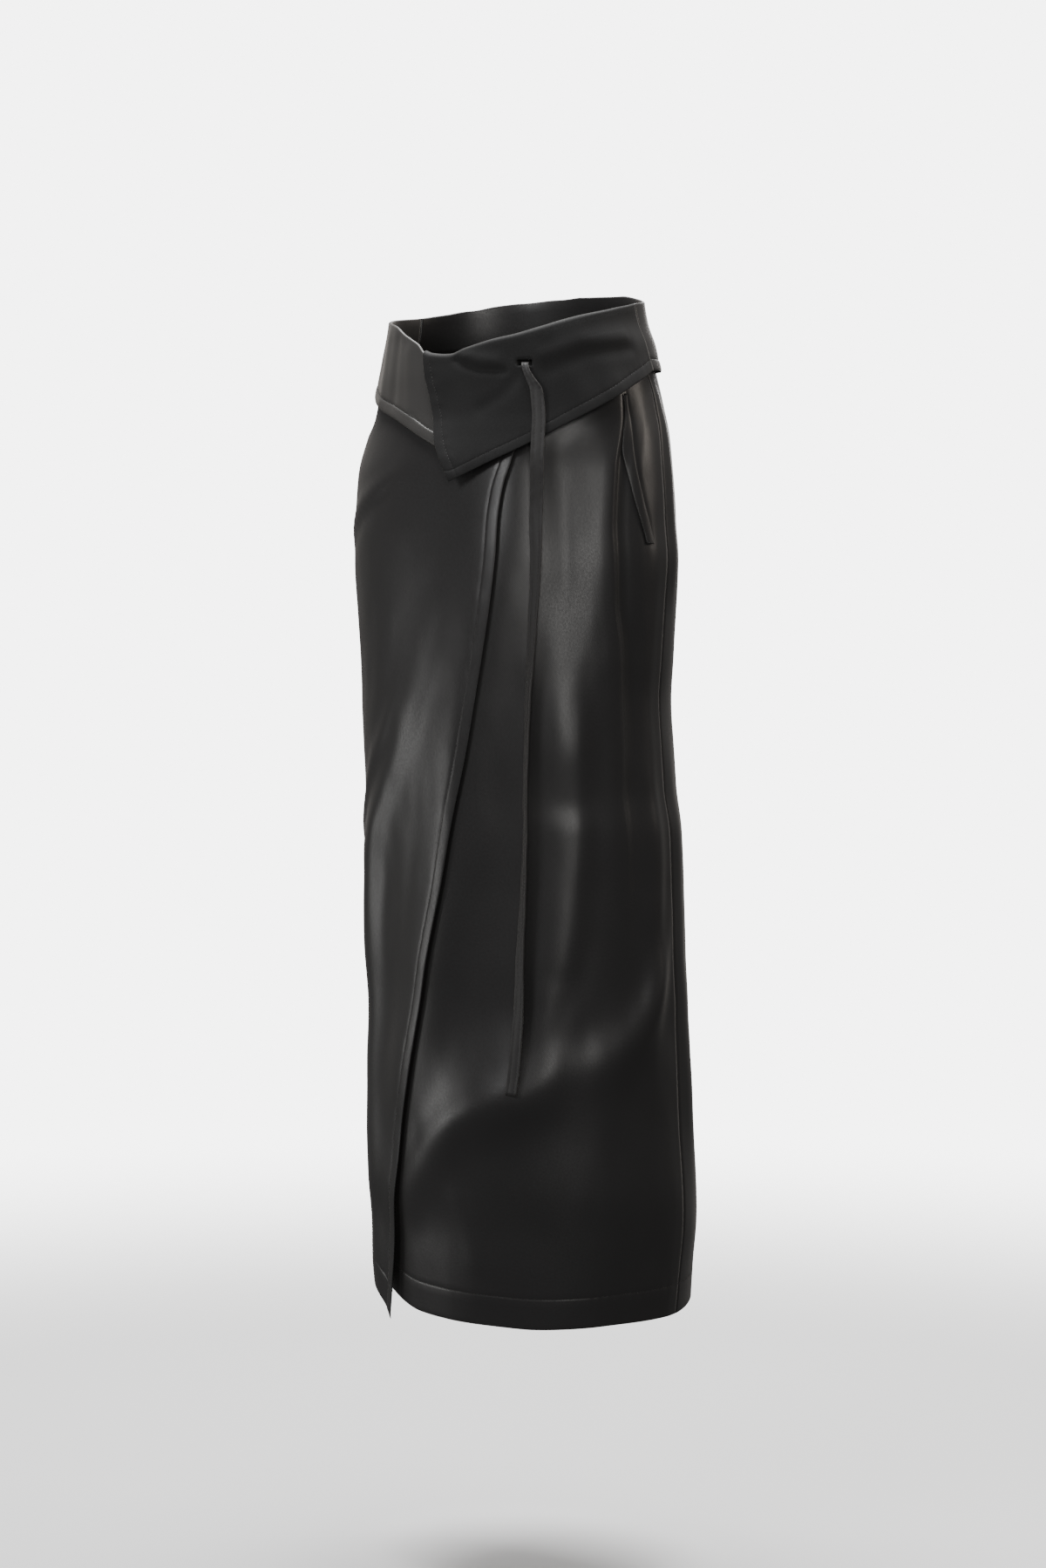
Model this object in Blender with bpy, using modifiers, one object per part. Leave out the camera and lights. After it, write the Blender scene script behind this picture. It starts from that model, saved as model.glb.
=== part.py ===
"""Wrap skirt with a fold-over waistband: eight cut pieces, each one closed thin wall.

Metres, +Z up. The wearer faces -Y, so the wearer's left is +X. Height 0 is the fold at the front.
A place on the skirt is a turn, a height and a distance out. The turn is in degrees round the body
from the front, and it is positive towards the wearer's left.
"""
import bisect
import math

import bmesh
import bpy
from mathutils import Vector

# Cloth walls and the space between pieces
PANEL_WALL = 0.0012
BAND_WALL = 0.0014
WELT_WALL = 0.0010
TIE_WALL = 0.0016
SEAM_SPACE = 0.0004
WAIST_SPACE = 0.0008
WELT_SPACE = 0.0009
METRES_PER_DEGREE = 0.0026

# How far out the middle of each layer lies where the fronts cross
WRAP_LIFT = 0.0022
EDGE_LIFT = 0.0022
ROLL_RIGHT = 0.0011
ROLL_BACK = 0.0013
FLAP_COVER = 0.0034

# Turns where the pieces meet or end
SIDE_TURN = 96.0
UNDER_EDGE_TURN = -70.0
RIGHT_BAND_END = 30.0

# Body sections: height, half width, half depth, shift to the wearer's left, shift back
SECTIONS = [
    (-0.890, 0.1518, 0.1290, 0.0099, 0.0175),
    (-0.859, 0.1549, 0.1300, 0.0098, 0.0174),
    (-0.838, 0.1566, 0.1305, 0.0099, 0.0179),
    (-0.803, 0.1586, 0.1310, 0.0108, 0.0193),
    (-0.761, 0.1605, 0.1310, 0.0099, 0.0174),
    (-0.712, 0.1599, 0.1300, 0.0082, 0.0158),
    (-0.657, 0.1590, 0.1285, 0.0077, 0.0143),
    (-0.602, 0.1568, 0.1270, 0.0076, 0.0136),
    (-0.546, 0.1579, 0.1255, 0.0058, 0.0106),
    (-0.491, 0.1579, 0.1240, 0.0052, 0.0095),
    (-0.437, 0.1602, 0.1225, 0.0029, 0.0068),
    (-0.396, 0.1566, 0.1210, 0.0019, 0.0044),
    (-0.355, 0.1564, 0.1200, 0.0006, 0.0022),
    (-0.315, 0.1562, 0.1190, -0.0005, 0.0006),
    (-0.274, 0.1589, 0.1187, -0.0002, 0.0004),
    (-0.233, 0.1624, 0.1185, -0.0002, 0.0000),
    (-0.184, 0.1660, 0.1180, -0.0004, 0.0000),
    (-0.152, 0.1650, 0.1160, -0.0013, -0.0007),
    (-0.105, 0.1618, 0.1125, -0.0012, -0.0006),
    (-0.071, 0.1547, 0.1085, 0.0004, 0.0023),
    (-0.055, 0.1487, 0.1065, 0.0019, 0.0035),
    (-0.036, 0.1439, 0.1045, 0.0018, 0.0034),
    (-0.014, 0.1382, 0.1025, 0.0013, 0.0030),
    (0.010, 0.1334, 0.1000, 0.0013, 0.0030),
    (0.030, 0.1276, 0.0980, 0.0003, 0.0023),
    (0.050, 0.1248, 0.0960, 0.0000, 0.0020),
    (0.075, 0.1225, 0.0935, 0.0000, 0.0020),
]

# Waist and hem lines round the body: turn, fold height, waist seam height, lower edge of the
# turned-down band, hem height
LINES = [
    (-180.0, 0.0640, 0.0120, -0.0120, -0.8750),
    (-150.0, 0.0610, 0.0120, -0.0120, -0.8720),
    (-125.0, 0.0540, 0.0120, -0.0130, -0.8680),
    (-96.0, 0.0455, 0.0080, -0.0170, -0.8650),
    (-70.0, 0.0400, 0.0000, -0.0270, -0.8620),
    (-52.0, 0.0350, -0.0080, -0.0370, -0.8620),
    (-36.6, 0.0290, -0.0200, -0.0488, -0.8700),
    (-26.0, 0.0190, -0.0300, -0.0565, -0.8780),
    (-17.0, 0.0100, -0.0380, -0.0650, -0.8825),
    (-8.0, 0.0010, -0.0470, -0.0755, -0.8838),
    (2.0, -0.0010, -0.0550, -0.0890, -0.8848),
    (8.0, 0.0035, -0.0580, -0.1170, -0.8852),
    (20.0, 0.0110, -0.0600, -0.1019, -0.8858),
    (32.0, 0.0165, -0.0560, -0.0868, -0.8868),
    (47.0, 0.0255, -0.0380, -0.0659, -0.8856),
    (66.0, 0.0350, -0.0160, -0.0443, -0.8833),
    (80.0, 0.0400, -0.0020, -0.0300, -0.8822),
    (96.0, 0.0455, 0.0080, -0.0150, -0.8812),
    (128.0, 0.0535, 0.0120, -0.0130, -0.8760),
    (150.0, 0.0610, 0.0120, -0.0120, -0.8765),
    (180.0, 0.0640, 0.0120, -0.0120, -0.8750),
]

# Free edge of the top front: height, turn
TOP_EDGE = [
    (-0.890, -31.5),
    (-0.861, -29.0),
    (-0.836, -27.2),
    (-0.795, -25.4),
    (-0.752, -22.0),
    (-0.710, -18.8),
    (-0.671, -14.8),
    (-0.633, -11.2),
    (-0.592, -7.5),
    (-0.551, -3.6),
    (-0.509, 0.2),
    (-0.466, 4.2),
    (-0.419, 8.4),
    (-0.375, 12.8),
    (-0.353, 14.7),
    (-0.312, 17.8),
    (-0.271, 20.0),
    (-0.237, 21.7),
    (-0.202, 22.9),
    (-0.173, 23.7),
    (-0.144, 24.4),
    (-0.121, 25.7),
    (-0.098, 28.3),
    (-0.075, 29.7),
    (-0.045, 30.0),
]

# Free end of the turned-down flap: height, turn
FLAP_END = [
    (-0.120, 9.2),
    (-0.103, 5.7),
    (-0.080, 0.7),
    (-0.062, -2.3),
    (-0.039, -6.0),
    (-0.015, -9.9),
    (0.002, -11.4),
    (0.030, -11.4),
]

# Loose side of the wearer's left band: turn, radius of its fold, how far out its lower edge stands
FLAP_STAND = [
    (-12.0, 0.0040, 0.0130),
    (8.0, 0.0042, 0.0170),
    (20.0, 0.0044, 0.0145),
    (33.0, 0.0044, 0.0125),
    (47.0, 0.0040, 0.0110),
    (66.0, 0.0030, 0.0105),
    (84.0, 0.0018, 0.0085),
    (96.0, 0.0014, 0.0080),
]

# Lower edge of the flap: turn, height
FLAP_LOWER = [
    (9.0, -0.1175),
    (20.3, -0.1019),
    (32.0, -0.0868),
    (47.5, -0.0659),
    (66.1, -0.0443),
    (80.0, -0.0290),
    (96.0, -0.0150),
]

# Line of the deep tuck beside the pocket: height, turn
TUCK_LINE = [
    (-0.890, 74.5),
    (-0.600, 71.9),
    (-0.407, 70.9),
    (-0.337, 72.2),
    (-0.268, 70.1),
    (-0.223, 66.8),
    (-0.167, 65.6),
    (-0.108, 67.5),
    (-0.049, 73.0),
    (0.010, 77.0),
]

# Depth of the tuck: height, share of the full depth
TUCK_DEPTH = [
    (-0.620, 0.00),
    (-0.520, 0.10),
    (-0.420, 0.40),
    (-0.330, 0.70),
    (-0.250, 0.95),
    (-0.160, 1.00),
    (-0.100, 0.90),
    (-0.060, 0.40),
    (-0.022, 0.00),
]

# Form across the tuck: metres past its line towards the side seam, rise of the cloth
TUCK_FORM = [
    (-0.0750, 0.0000),
    (-0.0550, 0.0003),
    (-0.0380, 0.0010),
    (-0.0230, 0.0022),
    (-0.0120, 0.0031),
    (-0.0050, 0.0033),
    (-0.0015, 0.0029),
    (0.0020, -0.0005),
    (0.0060, -0.0026),
    (0.0120, -0.0028),
    (0.0220, -0.0014),
    (0.0340, 0.0000),
]

# Columns of cloth beside the tuck, in degrees from its line
TUCK_COLUMNS = (-22.0, -16.0, -11.0, -7.5, -4.6, -2.2, -0.9, -0.45, 0.45, 1.2, 2.8, 5.2, 8.5)

# Long folds: name, layer of cloth, way, line, breadth on its low side, on its high side, rise along it.
# Way "down": the line gives the turn at a height. Way "round": the line gives the height at a turn.
FOLDS = [
    ("wrap crest", "both", "down",
     ((-0.840, -34.0), (-0.710, -23.5), (-0.590, -8.6), (-0.470, 4.0), (-0.350, 10.6), (-0.240, 18.8),
      (-0.120, 25.2)),
     0.0315, 0.0300,
     ((-0.870, 0.0006), (-0.750, 0.0022), (-0.600, 0.0076), (-0.400, 0.0086), (-0.240, 0.0072),
      (-0.120, 0.0036))),
    ("flat front", "both", "down",
     ((-0.380, 48.6), (-0.220, 48.6), (-0.080, 46.1)),
     0.0273, 0.0600,
     ((-0.440, 0.0), (-0.320, 0.0020), (-0.200, -0.0038), (-0.100, -0.0064), (-0.060, -0.0026))),
    ("narrow ridge", "under", "down",
     ((-0.640, 27.0), (-0.600, 36.0), (-0.560, 42.5), (-0.520, 46.2), (-0.420, 50.6), (-0.340, 52.6)),
     0.0280, 0.0160,
     ((-0.660, 0.0), (-0.600, 0.0026), (-0.540, 0.0036), (-0.480, 0.0034), (-0.430, 0.0026), (-0.412, 0.0012),
      (-0.394, 0.0022), (-0.360, 0.0036), (-0.290, 0.0))),
    ("low drape", "both", "round",
     ((-24.0, -0.7820), (-8.0, -0.7330), (12.0, -0.6920), (30.0, -0.6740), (48.0, -0.6500), (62.0, -0.6360),
      (74.0, -0.6100), (84.0, -0.5750), (94.0, -0.5300)),
     0.0320, 0.0280,
     ((-34.0, 0.0), (-18.0, 0.0036), (0.0, 0.0054), (26.0, 0.0058), (46.0, 0.0028), (60.0, 0.0052),
      (76.0, 0.0080),
      (86.0, 0.0050), (97.0, 0.0))),
    ("fan", "under", "round",
     ((-10.0, -0.7000), (12.0, -0.6820), (30.0, -0.6640), (46.0, -0.6400)),
     0.0300, 0.0520,
     ((-14.0, 0.0), (4.0, 0.0046), (22.0, 0.0066), (34.0, 0.0030), (44.0, 0.0))),
    ("side ridge", "under", "down",
     ((-0.640, 80.0), (-0.560, 83.0), (-0.480, 85.0), (-0.350, 85.6), (-0.200, 86.8)),
     0.0170, 0.0130,
     ((-0.700, 0.0), (-0.600, 0.0032), (-0.520, 0.0042), (-0.400, 0.0030), (-0.220, 0.0014), (-0.120, 0.0))),
    ("long fold", "top", "down",
     ((-0.620, -42.2), (-0.540, -43.0), (-0.470, -40.0), (-0.410, -31.5), (-0.350, -16.0),
      (-0.290, -5.0), (-0.210, 5.4)),
     0.0240, 0.0190,
     ((-0.680, 0.0030), (-0.560, 0.0054), (-0.460, 0.0078), (-0.360, 0.0026), (-0.260, 0.0032),
      (-0.170, 0.0))),
    ("second fold", "top", "round",
     ((-54.0, -0.4401), (-40.0, -0.3835), (-28.0, -0.3480), (-16.0, -0.3030)),
     0.0141, 0.0140,
     ((-62.0, 0.0), (-46.0, 0.0026), (-30.0, 0.0018), (-14.0, 0.0))),
    ("corner", "top", "down",
     ((-0.860, -43.6), (-0.740, -40.8), (-0.620, -45.0), (-0.520, -46.0)),
     0.0236, 0.0280,
     ((-0.880, 0.0046), (-0.760, 0.0076), (-0.620, 0.0046), (-0.500, 0.0026), (-0.440, 0.0))),
    ("hip crease", "top", "round",
     ((-60.0, -0.1600), (-44.0, -0.1341), (-20.0, -0.1096)),
     0.0100, 0.0080,
     ((-70.0, 0.0), (-50.0, 0.0019), (-28.0, 0.0015), (-12.0, 0.0))),
    ("hem pulled in", "both", "round",
     ((-40.0, -0.8950), (90.0, -0.8950)),
     0.1000, 0.1050,
     ((-52.0, 0.0), (-28.0, -0.0046), (-6.0, -0.0062), (60.0, -0.0060), (90.0, 0.0))),
    ("side fold high", "under", "down",
     ((-0.200, 103.5), (-0.110, 104.0), (-0.020, 99.5)),
     0.0110, 0.0110,
     ((-0.240, 0.0), (-0.170, 0.0022), (-0.050, 0.0022), (-0.010, 0.0))),
    ("side fold low", "under", "down",
     ((-0.720, 108.0), (-0.560, 103.5), (-0.380, 104.0)),
     0.0160, 0.0160,
     ((-0.780, 0.0), (-0.660, 0.0034), (-0.440, 0.0030), (-0.340, 0.0))),
    ("back fold left", "under", "down",
     ((-0.890, 145.0), (-0.500, 150.0), (-0.200, 141.0)),
     0.0360, 0.0360,
     ((-0.890, 0.0052), (-0.500, 0.0046), (-0.250, 0.0024), (-0.110, 0.0))),
    ("back hollow", "under", "down",
     ((-0.890, 176.0), (-0.600, 171.0), (-0.300, 178.0)),
     0.0400, 0.0400,
     ((-0.890, -0.0046), (-0.600, -0.0040), (-0.300, -0.0020), (-0.160, 0.0))),
    ("back fold right", "under", "down",
     ((-0.890, -140.0), (-0.520, -146.0), (-0.220, -137.0)),
     0.0360, 0.0360,
     ((-0.890, 0.0048), (-0.520, 0.0044), (-0.260, 0.0020), (-0.120, 0.0))),
    ("right side fold", "both", "down",
     ((-0.890, -84.0), (-0.600, -91.0), (-0.350, -86.5)),
     0.0300, 0.0300,
     ((-0.890, 0.0034), (-0.600, 0.0034), (-0.380, 0.0020), (-0.240, 0.0))),
]

# Slanting pocket: height, turn of its stitched side, turn of its open side
POCKET = [
    (-0.1735, 81.1, 84.6),
    (-0.1640, 80.2, 84.1),
    (-0.1350, 76.1, 80.5),
    (-0.1050, 72.8, 77.7),
    (-0.0876, 71.3, 76.9),
    (-0.0700, 72.1, 76.4),
    (-0.0520, 74.1, 76.1),
    (-0.0380, 75.1, 76.4),
]

# Buttonhole in the turned-down flap
HOLE_TURNS = (30.3, 36.1)
HOLE_HEIGHTS = (-0.0085, -0.0140)

# Tie: height, turn, distance out, half width, turning of its face in degrees
TIE = [
    (-0.0300, 33.4, 0.0044, 0.0032, 0.0),
    (-0.0200, 33.4, 0.0045, 0.0032, 0.0),
    (-0.0140, 33.4, 0.0056, 0.0032, 0.0),
    (-0.0113, 33.4, 0.0084, 0.0032, 0.0),
    (-0.0125, 33.5, 0.0116, 0.0032, 4.0),
    (-0.0170, 33.9, 0.0138, 0.0034, 14.0),
    (-0.0230, 34.8, 0.0148, 0.0041, 24.0),
    (-0.0290, 35.9, 0.0150, 0.0051, 22.0),
    (-0.0350, 36.9, 0.0148, 0.0058, 14.0),
    (-0.0450, 37.2, 0.0146, 0.0060, 6.0),
    (-0.0600, 37.3, 0.0150, 0.0060, 2.0),
    (-0.0750, 37.3, 0.0158, 0.0060, 0.0),
    (-0.0900, 37.4, 0.0162, 0.0060, 0.0),
    (-0.1050, 37.4, 0.0146, 0.0060, 0.0),
    (-0.1250, 37.2, 0.0112, 0.0060, 0.0),
    (-0.1450, 36.9, 0.0088, 0.0060, 6.0),
    (-0.1750, 36.6, 0.0080, 0.0060, 22.0),
    (-0.2250, 36.4, 0.0086, 0.0060, 38.0),
    (-0.2700, 36.1, 0.0094, 0.0060, 50.0),
    (-0.3150, 35.6, 0.0100, 0.0060, 58.0),
    (-0.3700, 34.2, 0.0104, 0.0060, 64.0),
    (-0.4250, 32.7, 0.0106, 0.0060, 64.0),
    (-0.4750, 31.4, 0.0108, 0.0060, 58.0),
    (-0.5250, 30.3, 0.0112, 0.0060, 48.0),
    (-0.5750, 29.3, 0.0124, 0.0060, 38.0),
    (-0.6150, 28.3, 0.0134, 0.0060, 26.0),
    (-0.6450, 27.3, 0.0138, 0.0060, 18.0),
    (-0.6700, 26.1, 0.0138, 0.0060, 20.0),
]

# Rows and columns of each piece
PANEL_ROWS = 31
BACK_COLUMNS = 24
TOP_FRONT_COLUMNS = 24
UNDER_COLUMNS_BEFORE_TUCK = 17
UNDER_COLUMNS_AFTER_TUCK = 3
LEG_ROWS = 3
ROLL_ROWS = 5
FALL_ROWS = 7
RIGHT_BAND_COLUMNS = 24
BACK_BAND_COLUMNS = 24
FLAP_COLUMNS_BEFORE_HOLE = 7
FLAP_COLUMNS_AFTER_HOLE = 12
FLAP_ROWS_ABOVE_HOLE = 2
FLAP_ROWS_BELOW_HOLE = 5
WELT_ROWS = 12
WELT_COLUMNS = 3
TIE_COLUMNS = 2

# Rows crowd towards the waist and columns towards the free edge by these powers
ROW_CROWDING = 1.25
COLUMN_CROWDING = 1.15

# Free corner of the top front: how far it hangs lower and stands off at the hem
CORNER_DROP = 0.0210
CORNER_LIFT = 0.004

# How the folds fade out below the waist seam: farthest, nearest
SEAM_FADE = (0.045, 0.002)

# Cuffs: distance out at the lower edge, over the inner cloth, and how late they spread
RIGHT_STAND = 0.0042
BACK_STAND = 0.0052
CUFF_BEND = 1.4
FLAP_BEND = 1.3

# Right cuff under the flap: turns where its fold sinks, turn where its edge levels, its rise after that
SINK_START = -17.5
SINK_END = -12.6
LEVEL_TURN = 2.0
LEVEL_RISE = 0.0008

# How much the buttonhole's upper and lower edge follow the fold line
HOLE_FOLLOW = (0.9, 0.8)

# First guess of a height, and rounds that settle a slanting edge
GUESS_HEIGHT = -0.4
ROUNDS = 8

# Finishes: name, colour, roughness, sheen
FINISHES = {
    "satin": ((0.030, 0.029, 0.029, 1.0), 0.42, 0.3),
    "reverse": ((0.014, 0.014, 0.015, 1.0), 0.75, 0.2),
}


def along(table, key, column=1):
    """One column of a table at a key, by a smooth curve through its rows."""
    keys = [row[0] for row in table]
    if key <= keys[0]:
        return table[0][column]
    if key >= keys[-1]:
        return table[-1][column]
    low = bisect.bisect_right(keys, key) - 1
    high = low + 1
    span = keys[high] - keys[low]
    share = (key - keys[low]) / span
    start = table[low][column]
    end = table[high][column]
    rise = (end - start) / span
    before = rise
    after = rise
    if low > 0:
        before = (start - table[low - 1][column]) / (keys[low] - keys[low - 1])
    if high < len(keys) - 1:
        after = (table[high + 1][column] - end) / (keys[high + 1] - keys[high])
    slope_start = 0.0 if before * rise <= 0 else 2 * before * rise / (before + rise)
    slope_end = 0.0 if after * rise <= 0 else 2 * after * rise / (after + rise)
    square = share * share
    cube = square * share
    return (
        (2 * cube - 3 * square + 1) * start
        + (cube - 2 * square + share) * slope_start * span
        + (3 * square - 2 * cube) * end
        + (cube - square) * slope_end * span
    )


def ease(low, high, key):
    """Soft step from 0 at low to 1 at high."""
    share = min(1.0, max(0.0, (key - low) / (high - low)))
    return share * share * (3 - 2 * share)


def wrapped(turn):
    """The same turn between -180 and 180 degrees."""
    return (turn + 180.0) % 360.0 - 180.0


def long_fold(fold, turn, height):
    """Rise of one long fold: a bell across its line, with a depth that changes along it."""
    _, _, way, line, below, above, depth = fold
    if way == "down":
        away = wrapped(turn - along(line, height)) * METRES_PER_DEGREE
        key = height
    else:
        away = height - along(line, wrapped(turn))
        key = wrapped(turn)
    breadth = below if away < 0 else above
    return along(depth, key) * math.exp(-((away / breadth) ** 2))


def fold_rise(turn, height, layer):
    """How far the long folds and the tuck push one layer of the cloth out."""
    total = sum(long_fold(fold, turn, height) for fold in FOLDS if fold[1] in (layer, "both"))
    seam = along(LINES, wrapped(turn), 2)
    total *= 1.0 - ease(seam - SEAM_FADE[0], seam - SEAM_FADE[1], height)
    past = (wrapped(turn) - along(TUCK_LINE, height)) * METRES_PER_DEGREE
    return total + along(TUCK_FORM, past) * along(TUCK_DEPTH, height)


def skin(turn, height, out, layer=""):
    """The point at a turn and a height, a distance out of the middle of the inner cloth.

    A layer, "top" or "under", adds the folds of that cloth."""
    half_width = along(SECTIONS, height, 1)
    half_depth = along(SECTIONS, height, 2)
    left = along(SECTIONS, height, 3)
    back = along(SECTIONS, height, 4)
    sine = math.sin(math.radians(turn))
    cosine = math.cos(math.radians(turn))
    length = math.hypot(sine / half_width, cosine / half_depth)
    if layer:
        out += fold_rise(turn, height, layer)
    return Vector((
        left + half_width * sine + out * sine / half_width / length,
        back - half_depth * cosine - out * cosine / half_depth / length,
        height,
    ))


def top_front_lift(turn):
    """How far the top front lies over the under front."""
    return WRAP_LIFT * ease(-SIDE_TURN, UNDER_EDGE_TURN - 3.0, turn)


def make_piece(name, finish, columns, rows, place, wall, hole=None):
    """A grid placed on its surface and thickened to a closed wall."""
    grid = bmesh.new()
    bmesh.ops.create_grid(grid, x_segments=columns, y_segments=rows, size=0.5)
    missing = []
    for face in grid.faces:
        middle = face.calc_center_median()
        cell = (int((middle.x + 0.5) * columns), int((middle.y + 0.5) * rows))
        if cell == hole:
            missing.append(face)
    bmesh.ops.delete(grid, geom=missing, context="FACES_ONLY")
    for vert in grid.verts:
        column = round((vert.co.x + 0.5) * columns)
        row = round((vert.co.y + 0.5) * rows)
        vert.co = place(column, row)
    bmesh.ops.recalc_face_normals(grid, faces=grid.faces[:])
    mesh = bpy.data.meshes.new(name)
    grid.to_mesh(mesh)
    grid.free()
    piece = bpy.data.objects.new(name, mesh)
    collection.objects.link(piece)
    thicken = piece.modifiers.new("wall", "SOLIDIFY")
    thicken.thickness = wall
    thicken.offset = 0.0
    thicken.use_even_offset = True
    thicken.use_quality_normals = True
    colour, roughness, sheen = FINISHES[finish]
    material = bpy.data.materials.new(name)
    material.use_nodes = True
    shader = material.node_tree.nodes["Principled BSDF"]
    shader.inputs["Base Color"].default_value = colour
    shader.inputs["Roughness"].default_value = roughness
    shader.inputs["Sheen Weight"].default_value = sheen
    mesh.materials.append(material)
    for face in mesh.polygons:
        face.use_smooth = True
    return piece


def panel_height(turn, share, drop=0.0):
    """Height on a body panel, from the waist seam to the hem."""
    top = along(LINES, wrapped(turn), 2) - WAIST_SPACE / 2
    bottom = along(LINES, wrapped(turn), 4) - drop
    return top + (bottom - top) * share ** ROW_CROWDING


def place_top_front(column, row):
    """Wearer's right front, which lies on top and ends in the slanting free edge."""
    share = row / PANEL_ROWS
    part = column / TOP_FRONT_COLUMNS
    part = 1.0 - (1.0 - part) ** COLUMN_CROWDING
    start = -SIDE_TURN + SEAM_SPACE / 2 / METRES_PER_DEGREE
    height = GUESS_HEIGHT
    turn = 0.0
    for _ in range(ROUNDS):
        turn = start + (along(TOP_EDGE, height) - start) * part
        drop = CORNER_DROP * part ** 6
        height = panel_height(turn, share, drop)
    lift = top_front_lift(turn) + EDGE_LIFT * part ** 10
    lift += CORNER_LIFT * part ** 8 * ease(0.8, 1.0, share)
    return skin(turn, height, lift, "top")


def under_front_turns(height):
    """Columns of the under front at one height, from its hidden edge to the side seam."""
    line = along(TUCK_LINE, height)
    reach = line + TUCK_COLUMNS[0] - UNDER_EDGE_TURN
    count = UNDER_COLUMNS_BEFORE_TUCK
    plain = [UNDER_EDGE_TURN + reach * step / count for step in range(count)]
    beside = [line + offset for offset in TUCK_COLUMNS]
    end = SIDE_TURN - SEAM_SPACE / 2 / METRES_PER_DEGREE
    count = UNDER_COLUMNS_AFTER_TUCK
    last = [beside[-1] + (end - beside[-1]) * step / count for step in range(1, count + 1)]
    return plain + beside + last


def place_under_front(column, row):
    """Wearer's left front, which runs under the top front."""
    share = row / PANEL_ROWS
    height = GUESS_HEIGHT
    turn = 0.0
    for _ in range(ROUNDS):
        turn = under_front_turns(height)[column]
        height = panel_height(turn, share)
    return skin(turn, height, 0.0, "under")


def place_back(column, row):
    """Back, from side seam to side seam."""
    space = SEAM_SPACE / 2 / METRES_PER_DEGREE
    start = SIDE_TURN + space
    end = 360.0 - SIDE_TURN - space
    turn = start + (end - start) * column / BACK_COLUMNS
    height = panel_height(turn, row / PANEL_ROWS)
    return skin(turn, height, 0.0, "under")


def roll_band(row, turn, inner, radius, stand, lower, rows_down, sunk=0.0):
    """A point on a band that rises from the waist seam, rolls over and falls outside itself."""
    centre = along(LINES, wrapped(turn), 1) - radius - sunk
    seam = along(LINES, wrapped(turn), 2) + WAIST_SPACE / 2
    if row < LEG_ROWS:
        height = seam + (centre - seam) * row / LEG_ROWS
        return skin(turn, height, inner)
    if row <= LEG_ROWS + ROLL_ROWS:
        angle = math.pi * (row - LEG_ROWS) / ROLL_ROWS
        out = inner + radius * (1 - math.cos(angle))
        return skin(turn, centre + radius * math.sin(angle), out)
    share = rows_down[row - LEG_ROWS - ROLL_ROWS - 1]
    height = centre + (lower - centre) * share
    out = inner + 2 * radius + (stand - inner - 2 * radius) * share ** CUFF_BEND
    return skin(turn, height, out)


def place_right_band(column, row):
    """Band of the wearer's right front, with its cuff turned down."""
    space = SEAM_SPACE / 2 / METRES_PER_DEGREE
    start = -SIDE_TURN + space
    turn = start + (RIGHT_BAND_END - start) * column / RIGHT_BAND_COLUMNS
    lower = along(LINES, turn, 3)
    if turn > LEVEL_TURN:
        lower = along(LINES, LEVEL_TURN, 3) + LEVEL_RISE * (turn - LEVEL_TURN)
    rows_down = [step / FALL_ROWS for step in range(1, FALL_ROWS + 1)]
    inner = top_front_lift(turn)
    stand = inner + RIGHT_STAND
    sunk = FLAP_COVER * ease(SINK_START, SINK_END, turn)
    return roll_band(row, turn, inner, ROLL_RIGHT, stand, lower, rows_down, sunk)


def place_back_band(column, row):
    """Band of the back, with its cuff turned down."""
    space = SEAM_SPACE / 2 / METRES_PER_DEGREE
    start = SIDE_TURN + space
    end = 360.0 - SIDE_TURN - space
    turn = start + (end - start) * column / BACK_BAND_COLUMNS
    rows_down = [step / FALL_ROWS for step in range(1, FALL_ROWS + 1)]
    lower = along(LINES, wrapped(turn), 3)
    return roll_band(row, turn, 0.0, ROLL_BACK, BACK_STAND, lower, rows_down)


def flap_turn(column, height):
    """Turn of one column of the flap, whose free end slants."""
    end = along(FLAP_END, height)
    before = FLAP_COLUMNS_BEFORE_HOLE
    if column < before:
        return end + (HOLE_TURNS[0] - end) * column / before
    if column <= before + 1:
        return HOLE_TURNS[column - before]
    finish = SIDE_TURN - SEAM_SPACE / 2 / METRES_PER_DEGREE
    return HOLE_TURNS[1] + (finish - HOLE_TURNS[1]) * (column - before - 1) / FLAP_COLUMNS_AFTER_HOLE


def place_left_band(column, row):
    """Band of the wearer's left front, whose broad flap folds over the other band."""
    height = 0.0
    turn = flap_turn(column, 0.03)
    if row <= LEG_ROWS + ROLL_ROWS:
        radius = along(FLAP_STAND, turn, 1)
        stand = along(FLAP_STAND, turn, 2)
        return roll_band(row, turn, 0.0, radius, stand, 0.0, [])
    step = row - LEG_ROWS - ROLL_ROWS
    for _ in range(ROUNDS):
        turn = flap_turn(column, height)
        radius = along(FLAP_STAND, turn, 1)
        centre = along(LINES, turn, 1) - radius
        lower = along(FLAP_LOWER, turn)
        near = min(max(turn, HOLE_TURNS[0]), HOLE_TURNS[1])
        shift = along(LINES, turn, 1) - along(LINES, near, 1)
        first = HOLE_HEIGHTS[0] + shift * HOLE_FOLLOW[0]
        second = HOLE_HEIGHTS[1] + shift * HOLE_FOLLOW[1]
        levels = [(centre + first) / 2, first, second]
        count = FLAP_ROWS_BELOW_HOLE
        levels += [second + (lower - second) * part / count for part in range(1, count + 1)]
        height = levels[step - 1]
    share = (centre - height) / (centre - lower)
    stand = along(FLAP_STAND, turn, 2)
    out = 2 * radius + (stand - 2 * radius) * max(0.0, share) ** FLAP_BEND
    return skin(turn, height, out)


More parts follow.
